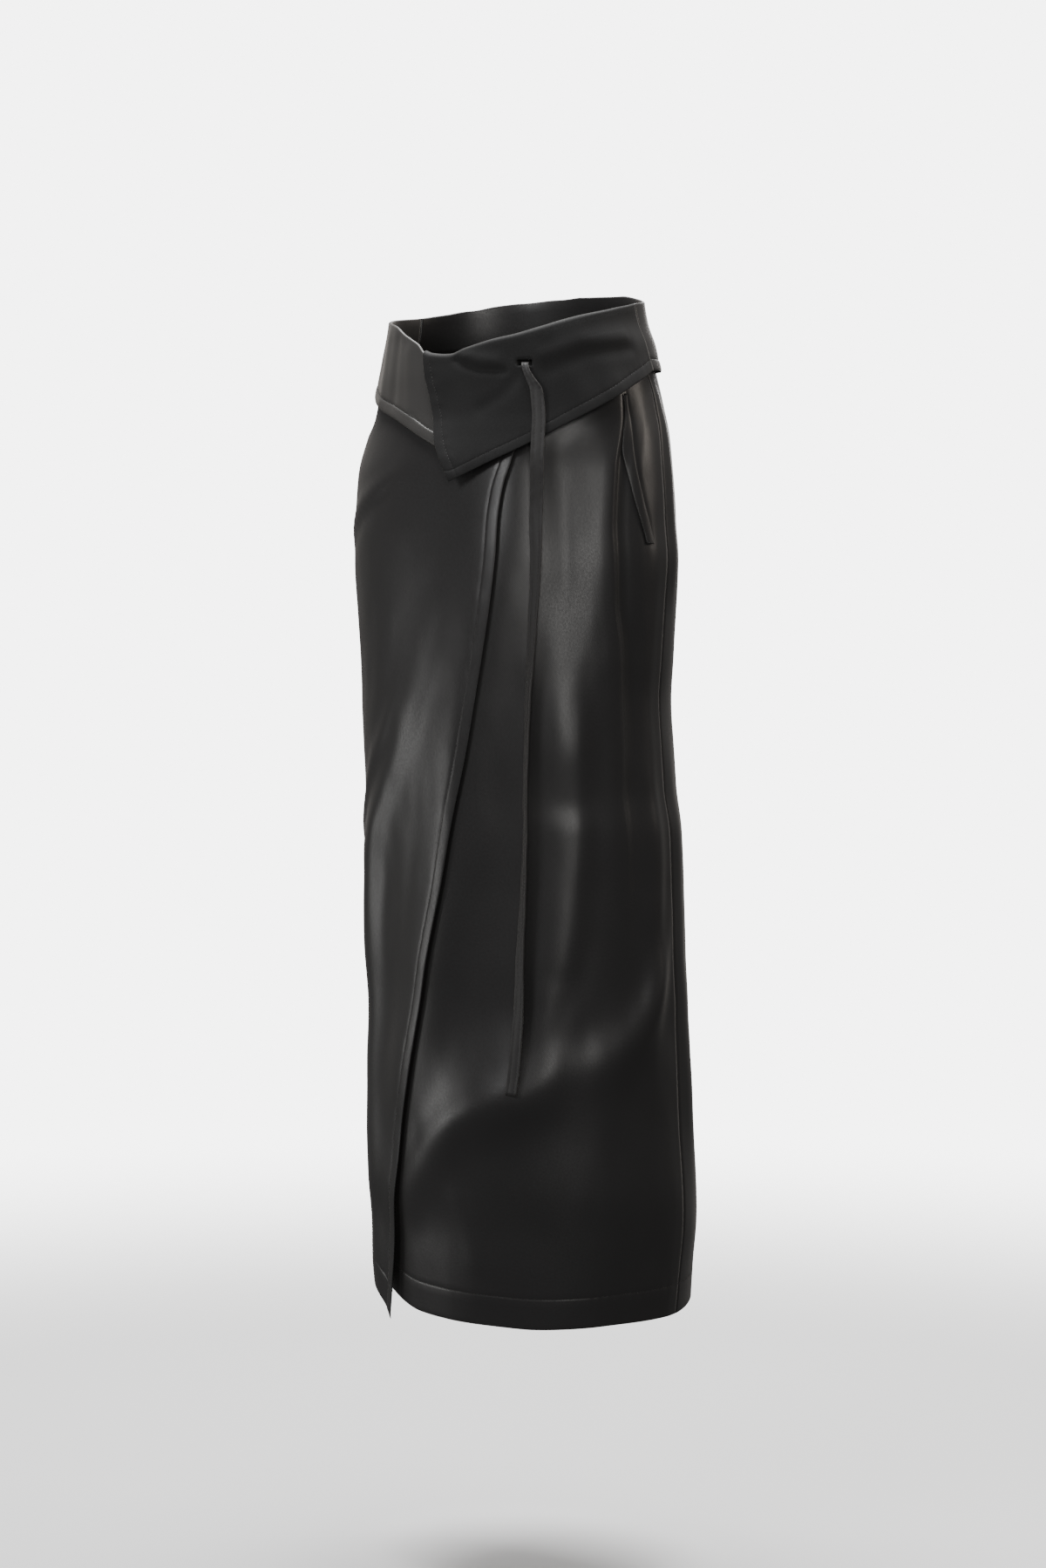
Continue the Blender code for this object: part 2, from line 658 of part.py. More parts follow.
def place_welt(column, row):
    """Pocket welt, lying on the under front from the waistband down to the pocket's end."""
    lowest = POCKET[0][0]
    highest = POCKET[-1][0]
    height = highest + (lowest - highest) * row / WELT_ROWS
    stitched = along(POCKET, height, 1)
    opening = along(POCKET, height, 2)
    turn = stitched + (opening - stitched) * column / WELT_COLUMNS
    out = PANEL_WALL / 2 + WELT_SPACE + WELT_WALL / 2
    return skin(turn, height, out, "under")


def place_tie(column, row):
    """Tie: in through the buttonhole, then down outside the flap to its bare end."""
    height, turn, out, half, turning = TIE[row]
    across = (column / TIE_COLUMNS * 2 - 1) * half
    middle = skin(turn, height, out)
    outward = (skin(turn, height, out + 0.01) - middle).normalized()
    side = Vector((0.0, 0.0, 1.0)).cross(outward).normalized()
    facing = math.radians(turning)
    return middle + (side * math.cos(facing) + outward * math.sin(facing)) * across


for old in list(bpy.data.objects):
    bpy.data.objects.remove(old, do_unlink=True)
collection = bpy.data.collections.new("wrap_skirt")
bpy.context.scene.collection.children.link(collection)

UNDER_COLUMNS = UNDER_COLUMNS_BEFORE_TUCK + len(TUCK_COLUMNS) + UNDER_COLUMNS_AFTER_TUCK - 1
FLAP_COLUMNS = FLAP_COLUMNS_BEFORE_HOLE + 1 + FLAP_COLUMNS_AFTER_HOLE
FLAP_ROWS = LEG_ROWS + ROLL_ROWS + FLAP_ROWS_ABOVE_HOLE + 1 + FLAP_ROWS_BELOW_HOLE
HOLE_CELL = (FLAP_COLUMNS_BEFORE_HOLE, LEG_ROWS + ROLL_ROWS + FLAP_ROWS_ABOVE_HOLE)
BAND_ROWS = LEG_ROWS + ROLL_ROWS + FALL_ROWS

make_piece("right_front", "satin", TOP_FRONT_COLUMNS, PANEL_ROWS, place_top_front, PANEL_WALL)
make_piece("left_front", "satin", UNDER_COLUMNS, PANEL_ROWS, place_under_front, PANEL_WALL)
make_piece("back", "satin", BACK_COLUMNS, PANEL_ROWS, place_back, PANEL_WALL)
make_piece("right_band", "satin", RIGHT_BAND_COLUMNS, BAND_ROWS, place_right_band, BAND_WALL)
make_piece("back_band", "satin", BACK_BAND_COLUMNS, BAND_ROWS, place_back_band, BAND_WALL)
make_piece("left_band", "reverse", FLAP_COLUMNS, FLAP_ROWS, place_left_band, BAND_WALL, HOLE_CELL)
make_piece("pocket_welt", "satin", WELT_COLUMNS, WELT_ROWS, place_welt, WELT_WALL)
make_piece("tie", "reverse", TIE_COLUMNS, len(TIE) - 1, place_tie, TIE_WALL)
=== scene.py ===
"""Looks of a wrap skirt with a fold-over waistband, worn form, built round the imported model."""
import bisect
import math

import bmesh
import bpy
from bpy.props import FloatProperty, FloatVectorProperty, PointerProperty
from mathutils import Matrix, Vector, noise


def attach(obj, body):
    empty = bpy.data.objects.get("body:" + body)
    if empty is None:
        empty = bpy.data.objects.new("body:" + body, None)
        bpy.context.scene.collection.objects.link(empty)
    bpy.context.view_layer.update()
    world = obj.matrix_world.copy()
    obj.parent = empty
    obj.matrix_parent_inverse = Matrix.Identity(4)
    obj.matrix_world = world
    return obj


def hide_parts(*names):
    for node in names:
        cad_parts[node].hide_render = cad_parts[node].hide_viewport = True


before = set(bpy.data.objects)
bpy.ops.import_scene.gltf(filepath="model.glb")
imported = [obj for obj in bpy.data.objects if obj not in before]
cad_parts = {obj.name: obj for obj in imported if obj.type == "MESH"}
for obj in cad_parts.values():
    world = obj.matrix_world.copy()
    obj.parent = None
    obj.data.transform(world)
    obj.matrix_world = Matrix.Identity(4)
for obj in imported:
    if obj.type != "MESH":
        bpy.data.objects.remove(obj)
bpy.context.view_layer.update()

bl_info = {
    "name": "Wrap Skirt",
    "version": (1, 0, 0),
    "blender": (4, 5, 0),
    "location": "View3D > Sidebar > Skirt",
    "description": "Satin wrap skirt with a fold-over waistband, a buttonholed tie and a welt pocket",
    "category": "Object",
}

# A place on the skirt is a turn, a height and a distance out. The turn is in degrees round the body
# from the front, positive towards the wearer's left. Distances are metres.
METRES_PER_DEGREE = 0.0026
SIDE_TURN = 96.0
UNDER_EDGE_TURN = -70.0
RIGHT_BAND_END = 30.0

# Under the flap the right band's lower edge leaves its line at a turn and rises by each degree
RIGHT_BAND_HIDDEN = 2.0
RIGHT_BAND_RISE = 0.0008

# Spaces at the side seams and the waist seam, and half of the first as a turn
SEAM_SPACE = 0.0011
WAIST_SPACE = 0.0012
SEAM_TURN = SEAM_SPACE / 2 / METRES_PER_DEGREE
BACK_TURNS = (SIDE_TURN + SEAM_TURN, 360.0 - SIDE_TURN - SEAM_TURN)

# Top front: rise over the under front, rise of its free edge, how far its corner dips and stands
# out. Each panel's cloth turns in at a side seam by two steps of SEAM_STEP.
WRAP_LIFT = 0.0022
EDGE_LIFT = 0.0022
CORNER_DIP = 0.0210
CORNER_STAND = 0.004
SEAM_STEP = 0.0014
SEAM_STEPS = 2

# Bands: radius of the fold, how far out the cuff's lower edge stands, and the curve of its fall
ROLL_RIGHT = 0.0011
ROLL_BACK = 0.0013
STAND_RIGHT = 0.0042
STAND_BACK = 0.0052
CUFF_CURVE = 1.4
FLAP_CURVE = 1.3

# The right band lies lower by FLAP_COVER under the flap, from the first turn to the second
FLAP_COVER = 0.0034
FLAP_COVER_TURNS = (-17.5, -12.6)

# Sewn edges: heights of the doubled cloth, groove, rounding and pucker, the pucker's fine and slow
# waves, and the flap's margin as a share of the plain one
DOUBLED_HEIGHT = 0.00020
GROOVE_HEIGHT = -0.00032
ROUNDING_HEIGHT = -0.00030
PUCKER_HEIGHT = 0.00016
PUCKER_WAVES = (560.0, 90.0)
FLAP_MARGIN = 0.95

# Rolled border of a cuff: heights of the roll, groove and rounding, and the groove's place past
# the margin
BORDER_ROLL = 0.0006
BORDER_GROOVE = -0.0008
BORDER_ROUNDING = -0.0004
GROOVE_SHIFT = 0.0004

# Unevenness of the waistband: height and fineness on the fold, the cuffs and the flap
FOLD_UNEVEN = (0.0004, 40.0)
CUFF_UNEVEN = (0.0005, 45.0)
FLAP_UNEVEN = (0.0006, 45.0)

# Welt: rise over the cloth, crown, slant towards its open side, wall, and how far its stitches lie
# past the stitched side, over the lower end and out
WELT_RISE = 0.0015
WELT_CROWN = 0.0005
WELT_SLANT = 0.0006
WELT_WALL = 0.0007
WELT_SEWING_TURN = 0.45
WELT_SEWING_RISE = 0.0018
WELT_BAR_UP = 0.0012
WELT_BAR_RISE = 0.0022

# Dip of the cloth along the pocket's open side: depth, how far past the side, breadth
POCKET_DIP = 0.0012
POCKET_DIP_PAST = 0.0012
POCKET_DIP_BREADTH = 0.0022

# Rows of stitches: ends of each row, as heights or turns, and the steps that trace it
EDGE_SEWING = (-0.085, -0.868, 239)
FLAP_END_SEWING = (-0.008, -0.103, 60)
FLAP_LOWER_SEWING = (11.5, SIDE_TURN - 1.0, 120)
UNDER_HEM_START = -55.0
TOP_HEM_SHORT = 4.0
TOP_HEM_RISE = 0.0004
HEM_STEPS = 160
CUFF_STEPS = 120

# Body sections: height, half width, half depth, shift to the wearer's left, shift back
SECTIONS = [
    (-0.890, 0.1518, 0.1290, 0.0099, 0.0175),
    (-0.859, 0.1549, 0.1300, 0.0098, 0.0174),
    (-0.838, 0.1566, 0.1305, 0.0099, 0.0179),
    (-0.803, 0.1586, 0.1310, 0.0108, 0.0193),
    (-0.761, 0.1605, 0.1310, 0.0099, 0.0174),
    (-0.712, 0.1599, 0.1300, 0.0082, 0.0158),
    (-0.657, 0.1590, 0.1285, 0.0077, 0.0143),
    (-0.602, 0.1568, 0.1270, 0.0076, 0.0136),
    (-0.546, 0.1579, 0.1255, 0.0058, 0.0106),
    (-0.491, 0.1579, 0.1240, 0.0052, 0.0095),
    (-0.437, 0.1602, 0.1225, 0.0029, 0.0068),
    (-0.396, 0.1566, 0.1210, 0.0019, 0.0044),
    (-0.355, 0.1564, 0.1200, 0.0006, 0.0022),
    (-0.315, 0.1562, 0.1190, -0.0005, 0.0006),
    (-0.274, 0.1589, 0.1187, -0.0002, 0.0004),
    (-0.233, 0.1624, 0.1185, -0.0002, 0.0000),
    (-0.184, 0.1660, 0.1180, -0.0004, 0.0000),
    (-0.152, 0.1650, 0.1160, -0.0013, -0.0007),
    (-0.105, 0.1618, 0.1125, -0.0012, -0.0006),
    (-0.071, 0.1547, 0.1085, 0.0004, 0.0023),
    (-0.055, 0.1487, 0.1065, 0.0019, 0.0035),
    (-0.036, 0.1439, 0.1045, 0.0018, 0.0034),
    (-0.014, 0.1382, 0.1025, 0.0013, 0.0030),
    (0.010, 0.1334, 0.1000, 0.0013, 0.0030),
    (0.030, 0.1276, 0.0980, 0.0003, 0.0023),
    (0.050, 0.1248, 0.0960, 0.0000, 0.0020),
    (0.075, 0.1225, 0.0935, 0.0000, 0.0020),
]

# Waist and hem lines round the body: turn, fold height, waist seam height, lower edge of the
# turned-down band, hem height
LINES = [
    (-180.0, 0.0640, 0.0120, -0.0120, -0.8750),
    (-150.0, 0.0610, 0.0120, -0.0120, -0.8720),
    (-125.0, 0.0540, 0.0120, -0.0130, -0.8680),
    (-96.0, 0.0455, 0.0080, -0.0170, -0.8650),
    (-70.0, 0.0400, 0.0000, -0.0270, -0.8620),
    (-52.0, 0.0350, -0.0080, -0.0370, -0.8620),
    (-36.6, 0.0290, -0.0200, -0.0488, -0.8700),
    (-26.0, 0.0190, -0.0300, -0.0565, -0.8780),
    (-17.0, 0.0100, -0.0380, -0.0650, -0.8825),
    (-8.0, 0.0010, -0.0470, -0.0755, -0.8838),
    (2.0, -0.0010, -0.0550, -0.0890, -0.8848),
    (8.0, 0.0035, -0.0580, -0.1170, -0.8852),
    (20.0, 0.0110, -0.0600, -0.1019, -0.8858),
    (32.0, 0.0165, -0.0560, -0.0868, -0.8868),
    (47.0, 0.0255, -0.0380, -0.0659, -0.8856),
    (66.0, 0.0350, -0.0160, -0.0443, -0.8833),
    (80.0, 0.0400, -0.0020, -0.0300, -0.8822),
    (96.0, 0.0455, 0.0080, -0.0150, -0.8812),
    (128.0, 0.0535, 0.0120, -0.0130, -0.8760),
    (150.0, 0.0610, 0.0120, -0.0120, -0.8765),
    (180.0, 0.0640, 0.0120, -0.0120, -0.8750),
]

# Free edge of the top front: height, turn
TOP_EDGE = [
    (-0.890, -31.5),
    (-0.861, -29.0),
    (-0.836, -27.2),
    (-0.795, -25.4),
    (-0.752, -22.0),
    (-0.710, -18.8),
    (-0.671, -14.8),
    (-0.633, -11.2),
    (-0.592, -7.5),
    (-0.551, -3.6),
    (-0.509, 0.2),
    (-0.466, 4.2),
    (-0.419, 8.4),
    (-0.375, 12.8),
    (-0.353, 14.7),
    (-0.312, 17.8),
    (-0.271, 20.0),
    (-0.237, 21.7),
    (-0.202, 22.9),
    (-0.173, 23.7),
    (-0.144, 24.4),
    (-0.121, 25.7),
    (-0.098, 28.3),
    (-0.075, 29.7),
    (-0.045, 30.0),
]

# Free end of the turned-down flap: height, turn
FLAP_END = [
    (-0.120, 9.2),
    (-0.103, 5.7),
    (-0.080, 0.7),
    (-0.062, -2.3),
    (-0.039, -6.0),
    (-0.015, -9.9),
    (0.002, -11.4),
    (0.030, -11.4),
]

# Loose side of the wearer's left band: turn, radius of its fold, how far out its lower edge stands
FLAP_STAND = [
    (-12.0, 0.0040, 0.0130),
    (8.0, 0.0042, 0.0170),
    (20.0, 0.0044, 0.0145),
    (33.0, 0.0044, 0.0125),
    (47.0, 0.0040, 0.0110),
    (66.0, 0.0030, 0.0105),
    (84.0, 0.0018, 0.0085),
    (96.0, 0.0014, 0.0080),
]

# Line of the deep tuck beside the pocket: height, turn
TUCK_LINE = [
    (-0.890, 74.5),
    (-0.600, 71.9),
    (-0.407, 70.9),
    (-0.337, 72.2),
    (-0.268, 70.1),
    (-0.223, 66.8),
    (-0.167, 65.6),
    (-0.108, 67.5),
    (-0.049, 73.0),
    (0.010, 77.0),
]

# Depth of the tuck: height, share of the full depth
TUCK_DEPTH = [
    (-0.620, 0.00),
    (-0.520, 0.10),
    (-0.420, 0.40),
    (-0.330, 0.70),
    (-0.250, 0.95),
    (-0.160, 1.00),
    (-0.100, 0.90),
    (-0.060, 0.40),
    (-0.022, 0.00),
]

# Form across the tuck: metres past its line towards the side seam, rise of the cloth
TUCK_FORM = [
    (-0.0750, 0.0000),
    (-0.0550, 0.0003),
    (-0.0380, 0.0010),
    (-0.0230, 0.0022),
    (-0.0120, 0.0031),
    (-0.0050, 0.0033),
    (-0.0015, 0.0029),
    (0.0020, -0.0005),
    (0.0060, -0.0026),
    (0.0120, -0.0028),
    (0.0220, -0.0014),
    (0.0340, 0.0000),
]

# Columns of cloth beside the tuck, in degrees from its line
TUCK_COLUMNS = (-22.0, -16.0, -11.0, -7.5, -4.6, -2.2, -0.9, -0.45, 0.45, 1.2, 2.8, 5.2, 8.5)

# Long folds: name, layer of cloth, way, line, breadth on its low side, on its high side, rise along it.
# Way "down": the line gives the turn at a height. Way "round": the line gives the height at a turn.
FOLDS = [
    ("wrap crest", "both", "down",
     ((-0.840, -34.0), (-0.710, -23.5), (-0.590, -8.6), (-0.470, 4.0), (-0.350, 10.6), (-0.240, 18.8),
      (-0.120, 25.2)),
     0.0315, 0.0300,
     ((-0.870, 0.0006), (-0.750, 0.0022), (-0.600, 0.0076), (-0.400, 0.0086), (-0.240, 0.0072),
      (-0.120, 0.0036))),
    ("flat front", "both", "down",
     ((-0.380, 48.6), (-0.220, 48.6), (-0.080, 46.1)),
     0.0273, 0.0600,
     ((-0.440, 0.0), (-0.320, 0.0020), (-0.200, -0.0038), (-0.100, -0.0064), (-0.060, -0.0026))),
    ("narrow ridge", "under", "down",
     ((-0.640, 27.0), (-0.600, 36.0), (-0.560, 42.5), (-0.520, 46.2), (-0.420, 50.6), (-0.340, 52.6)),
     0.0280, 0.0160,
     ((-0.660, 0.0), (-0.600, 0.0026), (-0.540, 0.0036), (-0.480, 0.0034), (-0.430, 0.0026), (-0.412, 0.0012),
      (-0.394, 0.0022), (-0.360, 0.0036), (-0.290, 0.0))),
    ("low drape", "both", "round",
     ((-24.0, -0.7820), (-8.0, -0.7330), (12.0, -0.6920), (30.0, -0.6740), (48.0, -0.6500), (62.0, -0.6360),
      (74.0, -0.6100), (84.0, -0.5750), (94.0, -0.5300)),
     0.0320, 0.0280,
     ((-34.0, 0.0), (-18.0, 0.0036), (0.0, 0.0054), (26.0, 0.0058), (46.0, 0.0028), (60.0, 0.0052),
      (76.0, 0.0080), (86.0, 0.0050), (97.0, 0.0))),
    ("fan", "under", "round",
     ((-10.0, -0.7000), (12.0, -0.6820), (30.0, -0.6640), (46.0, -0.6400)),
     0.0300, 0.0520,
     ((-14.0, 0.0), (4.0, 0.0046), (22.0, 0.0066), (34.0, 0.0030), (44.0, 0.0))),
    ("drape flank", "under", "down",
     ((-0.700, 38.0), (-0.640, 41.0), (-0.590, 46.0)),
     0.0300, 0.0180,
     ((-0.700, 0.0), (-0.650, 0.0022), (-0.610, 0.0026), (-0.565, 0.0))),
    ("side ridge", "under", "down",
     ((-0.640, 80.0), (-0.560, 83.0), (-0.480, 85.0), (-0.350, 85.6), (-0.200, 86.8)),
     0.0170, 0.0130,
     ((-0.700, 0.0), (-0.600, 0.0032), (-0.520, 0.0042), (-0.400, 0.0030), (-0.220, 0.0014), (-0.120, 0.0))),
    ("long fold", "top", "down",
     ((-0.620, -42.2), (-0.540, -43.0), (-0.470, -40.0), (-0.410, -31.5), (-0.350, -16.0),
      (-0.290, -5.0), (-0.210, 5.4)),
     0.0240, 0.0190,
     ((-0.680, 0.0030), (-0.560, 0.0054), (-0.460, 0.0078), (-0.360, 0.0026), (-0.260, 0.0032),
      (-0.170, 0.0))),
    ("second fold", "top", "round",
     ((-54.0, -0.4401), (-40.0, -0.3835), (-28.0, -0.3480), (-16.0, -0.3030)),
     0.0141, 0.0140,
     ((-62.0, 0.0), (-46.0, 0.0026), (-30.0, 0.0018), (-14.0, 0.0))),
    ("corner", "top", "down",
     ((-0.860, -43.6), (-0.740, -40.8), (-0.620, -45.0), (-0.520, -46.0)),
     0.0236, 0.0280,
     ((-0.880, 0.0046), (-0.760, 0.0076), (-0.620, 0.0046), (-0.500, 0.0026), (-0.440, 0.0))),
    ("hip crease", "top", "round",
     ((-60.0, -0.1600), (-44.0, -0.1341), (-20.0, -0.1096)),
     0.0100, 0.0080,
     ((-70.0, 0.0), (-50.0, 0.0019), (-28.0, 0.0015), (-12.0, 0.0))),
    ("hem pulled in", "both", "round",
     ((-40.0, -0.8950), (90.0, -0.8950)),
     0.1000, 0.1050,
     ((-52.0, 0.0), (-28.0, -0.0046), (-6.0, -0.0062), (60.0, -0.0060), (90.0, 0.0))),
    ("side fold high", "under", "down",
     ((-0.200, 103.5), (-0.110, 104.0), (-0.020, 99.5)),
     0.0110, 0.0110,
     ((-0.240, 0.0), (-0.170, 0.0022), (-0.050, 0.0022), (-0.010, 0.0))),
    ("side fold low", "under", "down",
     ((-0.720, 108.0), (-0.560, 103.5), (-0.380, 104.0)),
     0.0160, 0.0160,
     ((-0.780, 0.0), (-0.660, 0.0034), (-0.440, 0.0030), (-0.340, 0.0))),
    ("back fold left", "under", "down",
     ((-0.890, 145.0), (-0.500, 150.0), (-0.200, 141.0)),
     0.0360, 0.0360,
     ((-0.890, 0.0052), (-0.500, 0.0046), (-0.250, 0.0024), (-0.110, 0.0))),
    ("back hollow", "under", "down",
     ((-0.890, 176.0), (-0.600, 171.0), (-0.300, 178.0)),
     0.0400, 0.0400,
     ((-0.890, -0.0046), (-0.600, -0.0040), (-0.300, -0.0020), (-0.160, 0.0))),
    ("back fold right", "under", "down",
     ((-0.890, -140.0), (-0.520, -146.0), (-0.220, -137.0)),
     0.0360, 0.0360,
     ((-0.890, 0.0048), (-0.520, 0.0044), (-0.260, 0.0020), (-0.120, 0.0))),
    ("right side fold", "both", "down",
     ((-0.890, -84.0), (-0.600, -91.0), (-0.350, -86.5)),
     0.0300, 0.0300,
     ((-0.890, 0.0034), (-0.600, 0.0034), (-0.380, 0.0020), (-0.240, 0.0))),
]

# Slanting pocket: height, turn of its stitched side, turn of its open side
POCKET = [
    (-0.1735, 81.1, 84.6),
    (-0.1640, 80.2, 84.1),
    (-0.1350, 76.1, 80.5),
    (-0.1050, 72.8, 77.7),
    (-0.0876, 71.3, 76.9),
    (-0.0700, 72.1, 76.4),
    (-0.0520, 74.1, 76.1),
    (-0.0380, 75.1, 76.4),
]

# Buttonhole in the turned-down flap
HOLE_TURNS = (30.3, 36.1)
HOLE_HEIGHTS = (-0.0085, -0.0140)

# Tie: height, turn, distance out, half width, turning of its face in degrees
TIE = [
    (-0.0300, 33.4, 0.0044, 0.0032, 0.0),
    (-0.0200, 33.4, 0.0045, 0.0032, 0.0),
    (-0.0140, 33.4, 0.0056, 0.0032, 0.0),
    (-0.0113, 33.4, 0.0084, 0.0032, 0.0),
    (-0.0125, 33.5, 0.0116, 0.0032, 4.0),
    (-0.0170, 33.9, 0.0138, 0.0034, 14.0),
    (-0.0230, 34.8, 0.0148, 0.0041, 24.0),
    (-0.0290, 35.9, 0.0150, 0.0051, 22.0),
    (-0.0350, 36.9, 0.0148, 0.0058, 14.0),
    (-0.0450, 37.2, 0.0146, 0.0060, 6.0),
    (-0.0600, 37.3, 0.0150, 0.0060, 2.0),
    (-0.0750, 37.3, 0.0158, 0.0060, 0.0),
    (-0.0900, 37.4, 0.0162, 0.0060, 0.0),
    (-0.1050, 37.4, 0.0146, 0.0060, 0.0),
    (-0.1250, 37.2, 0.0112, 0.0060, 0.0),
    (-0.1450, 36.9, 0.0088, 0.0060, 6.0),
    (-0.1750, 36.6, 0.0080, 0.0060, 22.0),
    (-0.2250, 36.4, 0.0086, 0.0060, 38.0),
    (-0.2700, 36.1, 0.0094, 0.0060, 50.0),
    (-0.3150, 35.6, 0.0100, 0.0060, 58.0),
    (-0.3700, 34.2, 0.0104, 0.0060, 64.0),
    (-0.4250, 32.7, 0.0106, 0.0060, 64.0),
    (-0.4750, 31.4, 0.0108, 0.0060, 58.0),
    (-0.5250, 30.3, 0.0112, 0.0060, 48.0),
    (-0.5750, 29.3, 0.0124, 0.0060, 38.0),
    (-0.6150, 28.3, 0.0134, 0.0060, 26.0),
    (-0.6450, 27.3, 0.0138, 0.0060, 18.0),
    (-0.6700, 26.1, 0.0138, 0.0060, 20.0),
]

# Lower edge of the flap: turn, height
FLAP_LOWER = [
    (9.0, -0.1175),
    (20.3, -0.1019),
    (32.0, -0.0868),
    (47.5, -0.0659),
    (66.1, -0.0443),
    (80.0, -0.0290),
    (96.0, -0.0150),
]

# Softer creases on top of the folds: name, breadth, rise, path of (turn, height)
CREASES = [
    ("hip mark", 0.0060, -0.0009, ((-22.0, -0.124), (-42.0, -0.150), (-57.0, -0.176))),
    ("hem line left", 0.0080, 0.0008, ((2.0, -0.770), (10.0, -0.830))),
    ("back mark left", 0.0120, 0.0012, ((128.0, -0.140), (150.0, -0.180), (165.0, -0.240))),
    ("back mark right", 0.0120, 0.0012, ((-126.0, -0.130), (-148.0, -0.175), (-164.0, -0.240))),
]

# Creases of the turned-down flap: name, breadth, rise, path of (turn, height)
FLAP_CREASES = [
    ("lip", 0.0060, 0.0016, ((8.0, -0.001), (13.0, -0.0065), (22.0, -0.0095))),
    ("under the lip", 0.0030, -0.0020, ((3.5, -0.003), (8.5, -0.0115), (15.0, -0.0170), (25.0, -0.0185))),
    ("pull to the buttonhole", 0.0060, -0.0010, ((33.0, -0.018), (24.0, -0.040), (16.0, -0.052))),
    ("pull above", 0.0060, 0.0012, ((40.0, -0.004), (56.0, 0.008), (80.0, 0.014))),
    ("hollow below", 0.0070, -0.0012, ((42.0, -0.018), (58.0, -0.004), (82.0, 0.003))),
    ("corner curl", 0.0140, 0.0016, ((2.0, -0.080), (9.0, -0.112))),
]

# Soft waves of the other cuffs: name, breadth, rise, path of (turn, height)
CUFF_CREASES = [
    ("cuff swell left", 0.0080, 0.0009, ((-44.0, 0.020), (-40.0, -0.036))),
    ("cuff swell right", 0.0070, 0.0009, ((-22.0, 0.004), (-17.0, -0.050))),
    ("cuff hollow", 0.0070, -0.0009, ((-32.0, 0.016), (-29.0, -0.040))),
    ("back cuff swell", 0.0120, 0.0010, ((140.0, 0.050), (136.0, 0.000))),
    ("back cuff hollow", 0.0120, -0.0010, ((170.0, 0.050), (174.0, 0.000))),
    ("far cuff swell", 0.0120, 0.0010, ((-120.0, 0.040), (-124.0, 0.000))),
]

# Columns of the tie, as shares of its half width, and the two that hold its stitches
TIE_PARTS = (-1.0, -0.93, -0.62, -0.52, -0.42, 0.0, 0.42, 0.52, 0.62, 0.93, 1.0)
TIE_SEWING = (-0.52, 0.52)

# Relief of the tie: its grooves' height and breadth, and the height and fineness of its edges' waves
TIE_GROOVE = (-0.00028, 0.08)
TIE_WAVE = (0.00016, 9.0)

# Rows of cloth above a hem and columns beside an edge, as distances from the edge
HEM_ROWS = (0.0, 0.0005, 0.0016, 0.0050, 0.0120, 0.0200, 0.0262, 0.0273, 0.0280, 0.0287, 0.0298, 0.0340)
EDGE_COLUMNS = (0.0, 0.0005, 0.0016, 0.0045, 0.0075, 0.0090, 0.0096, 0.0100, 0.0104, 0.0112, 0.0140)

# Counts of plain rows and columns
PANEL_ROWS = 116
FRONT_COLUMNS = 84
BACK_COLUMNS = 84
UNDER_COLUMNS = 56
SIDE_COLUMNS = 18
LEG_ROWS = 6
ROLL_ROWS = 10
FALL_ROWS = 16
BAND_COLUMNS = 96
TIE_ROWS = 200
WELT_COLUMNS = 10
WELT_ROWS = 70

# Counts on the flap: columns before, across and after the buttonhole, rows above, down and below it
FLAP_BEFORE = 30
FLAP_HOLE = 8
FLAP_AFTER = 60
HOLE_ABOVE = 6
HOLE_DOWN = 2
FLAP_FALL = 26

# Passes that settle a turn and a height that depend on each other, from a first height
SETTLING = 4
FLAP_SETTLING = 8
FIRST_HEIGHT = -0.4

# Finishes of the cloth: colour, roughness, specular level, sheen, pitch of its threads, depth of
# its weave. The cuff's colour is lighter than the satin's, a painted sheen for the light it takes across its
# threads, and the tie's is a little lighter, a painted sheen for being seen along its length.
FINISHES = {
    "satin_face": ("satin", 0.35, 0.60, 0.10, 0.0009, 0.00004),
    # The cuff finish's lighter colour is a painted sheen.
    "satin_cuff": ("cuff", 0.44, 0.60, 0.20, 0.0009, 0.00005),
    "satin_reverse": ("reverse", 0.72, 0.25, 0.10, 0.0011, 0.00010),
    # The tie finish's slightly lighter colour is a painted sheen.
    "satin_tie": ("tie", 0.55, 0.50, 0.15, 0.0009, 0.00004),
}

# Camera: turn, distance and height, tilt down in degrees, lens and its shift
CAMERA_TURN = 38.0
CAMERA_AWAY = 3.2
CAMERA_HEIGHT = -0.233
CAMERA_TILT = 2.913
CAMERA_LENS = 78.44
CAMERA_SENSOR = 36.0
CAMERA_SHIFT = 0.00445

# Floor: height, radius, and the distances between which it fades out
FLOOR_HEIGHT = -1.13
FLOOR_RADIUS = 3.0
FLOOR_FADE = (1.5, 2.9)

# Softboxes: turn, distance, height, width, length, power, colour, height of the target, and how
# far the target stands out on the same turn
LIGHTS = {
    "key": (40.0, 2.96, 0.12, 0.9, 1.1, 15.0, (1.0, 0.98, 0.95), -0.4, 0.0),
    "left": (-51.0, 2.96, -0.80, 1.2, 0.62, 9.4, (1.0, 0.99, 0.97), -0.4, 0.0),
    "high": (-4.0, 2.75, 0.75, 0.8, 0.8, 17.5, (1.0, 1.0, 1.0), -0.4, 0.0),
    "rim": (123.0, 2.72, 0.87, 0.7, 1.0, 11.5, (1.0, 0.90, 0.80), -0.4, 0.0),
    "back": (208.0, 2.80, 0.50, 1.0, 1.2, 13.0, (1.0, 0.98, 0.96), -0.4, 0.0),
    "top": (218.0, 1.0, 3.4, 3.0, 3.0, 420.0, (1.0, 1.0, 1.0), 0.0, 1.0),
}

# Strength of the white surroundings, as they light the cloth and as the camera sees them
SURROUNDINGS = 0.10
BACKDROP = 6.0


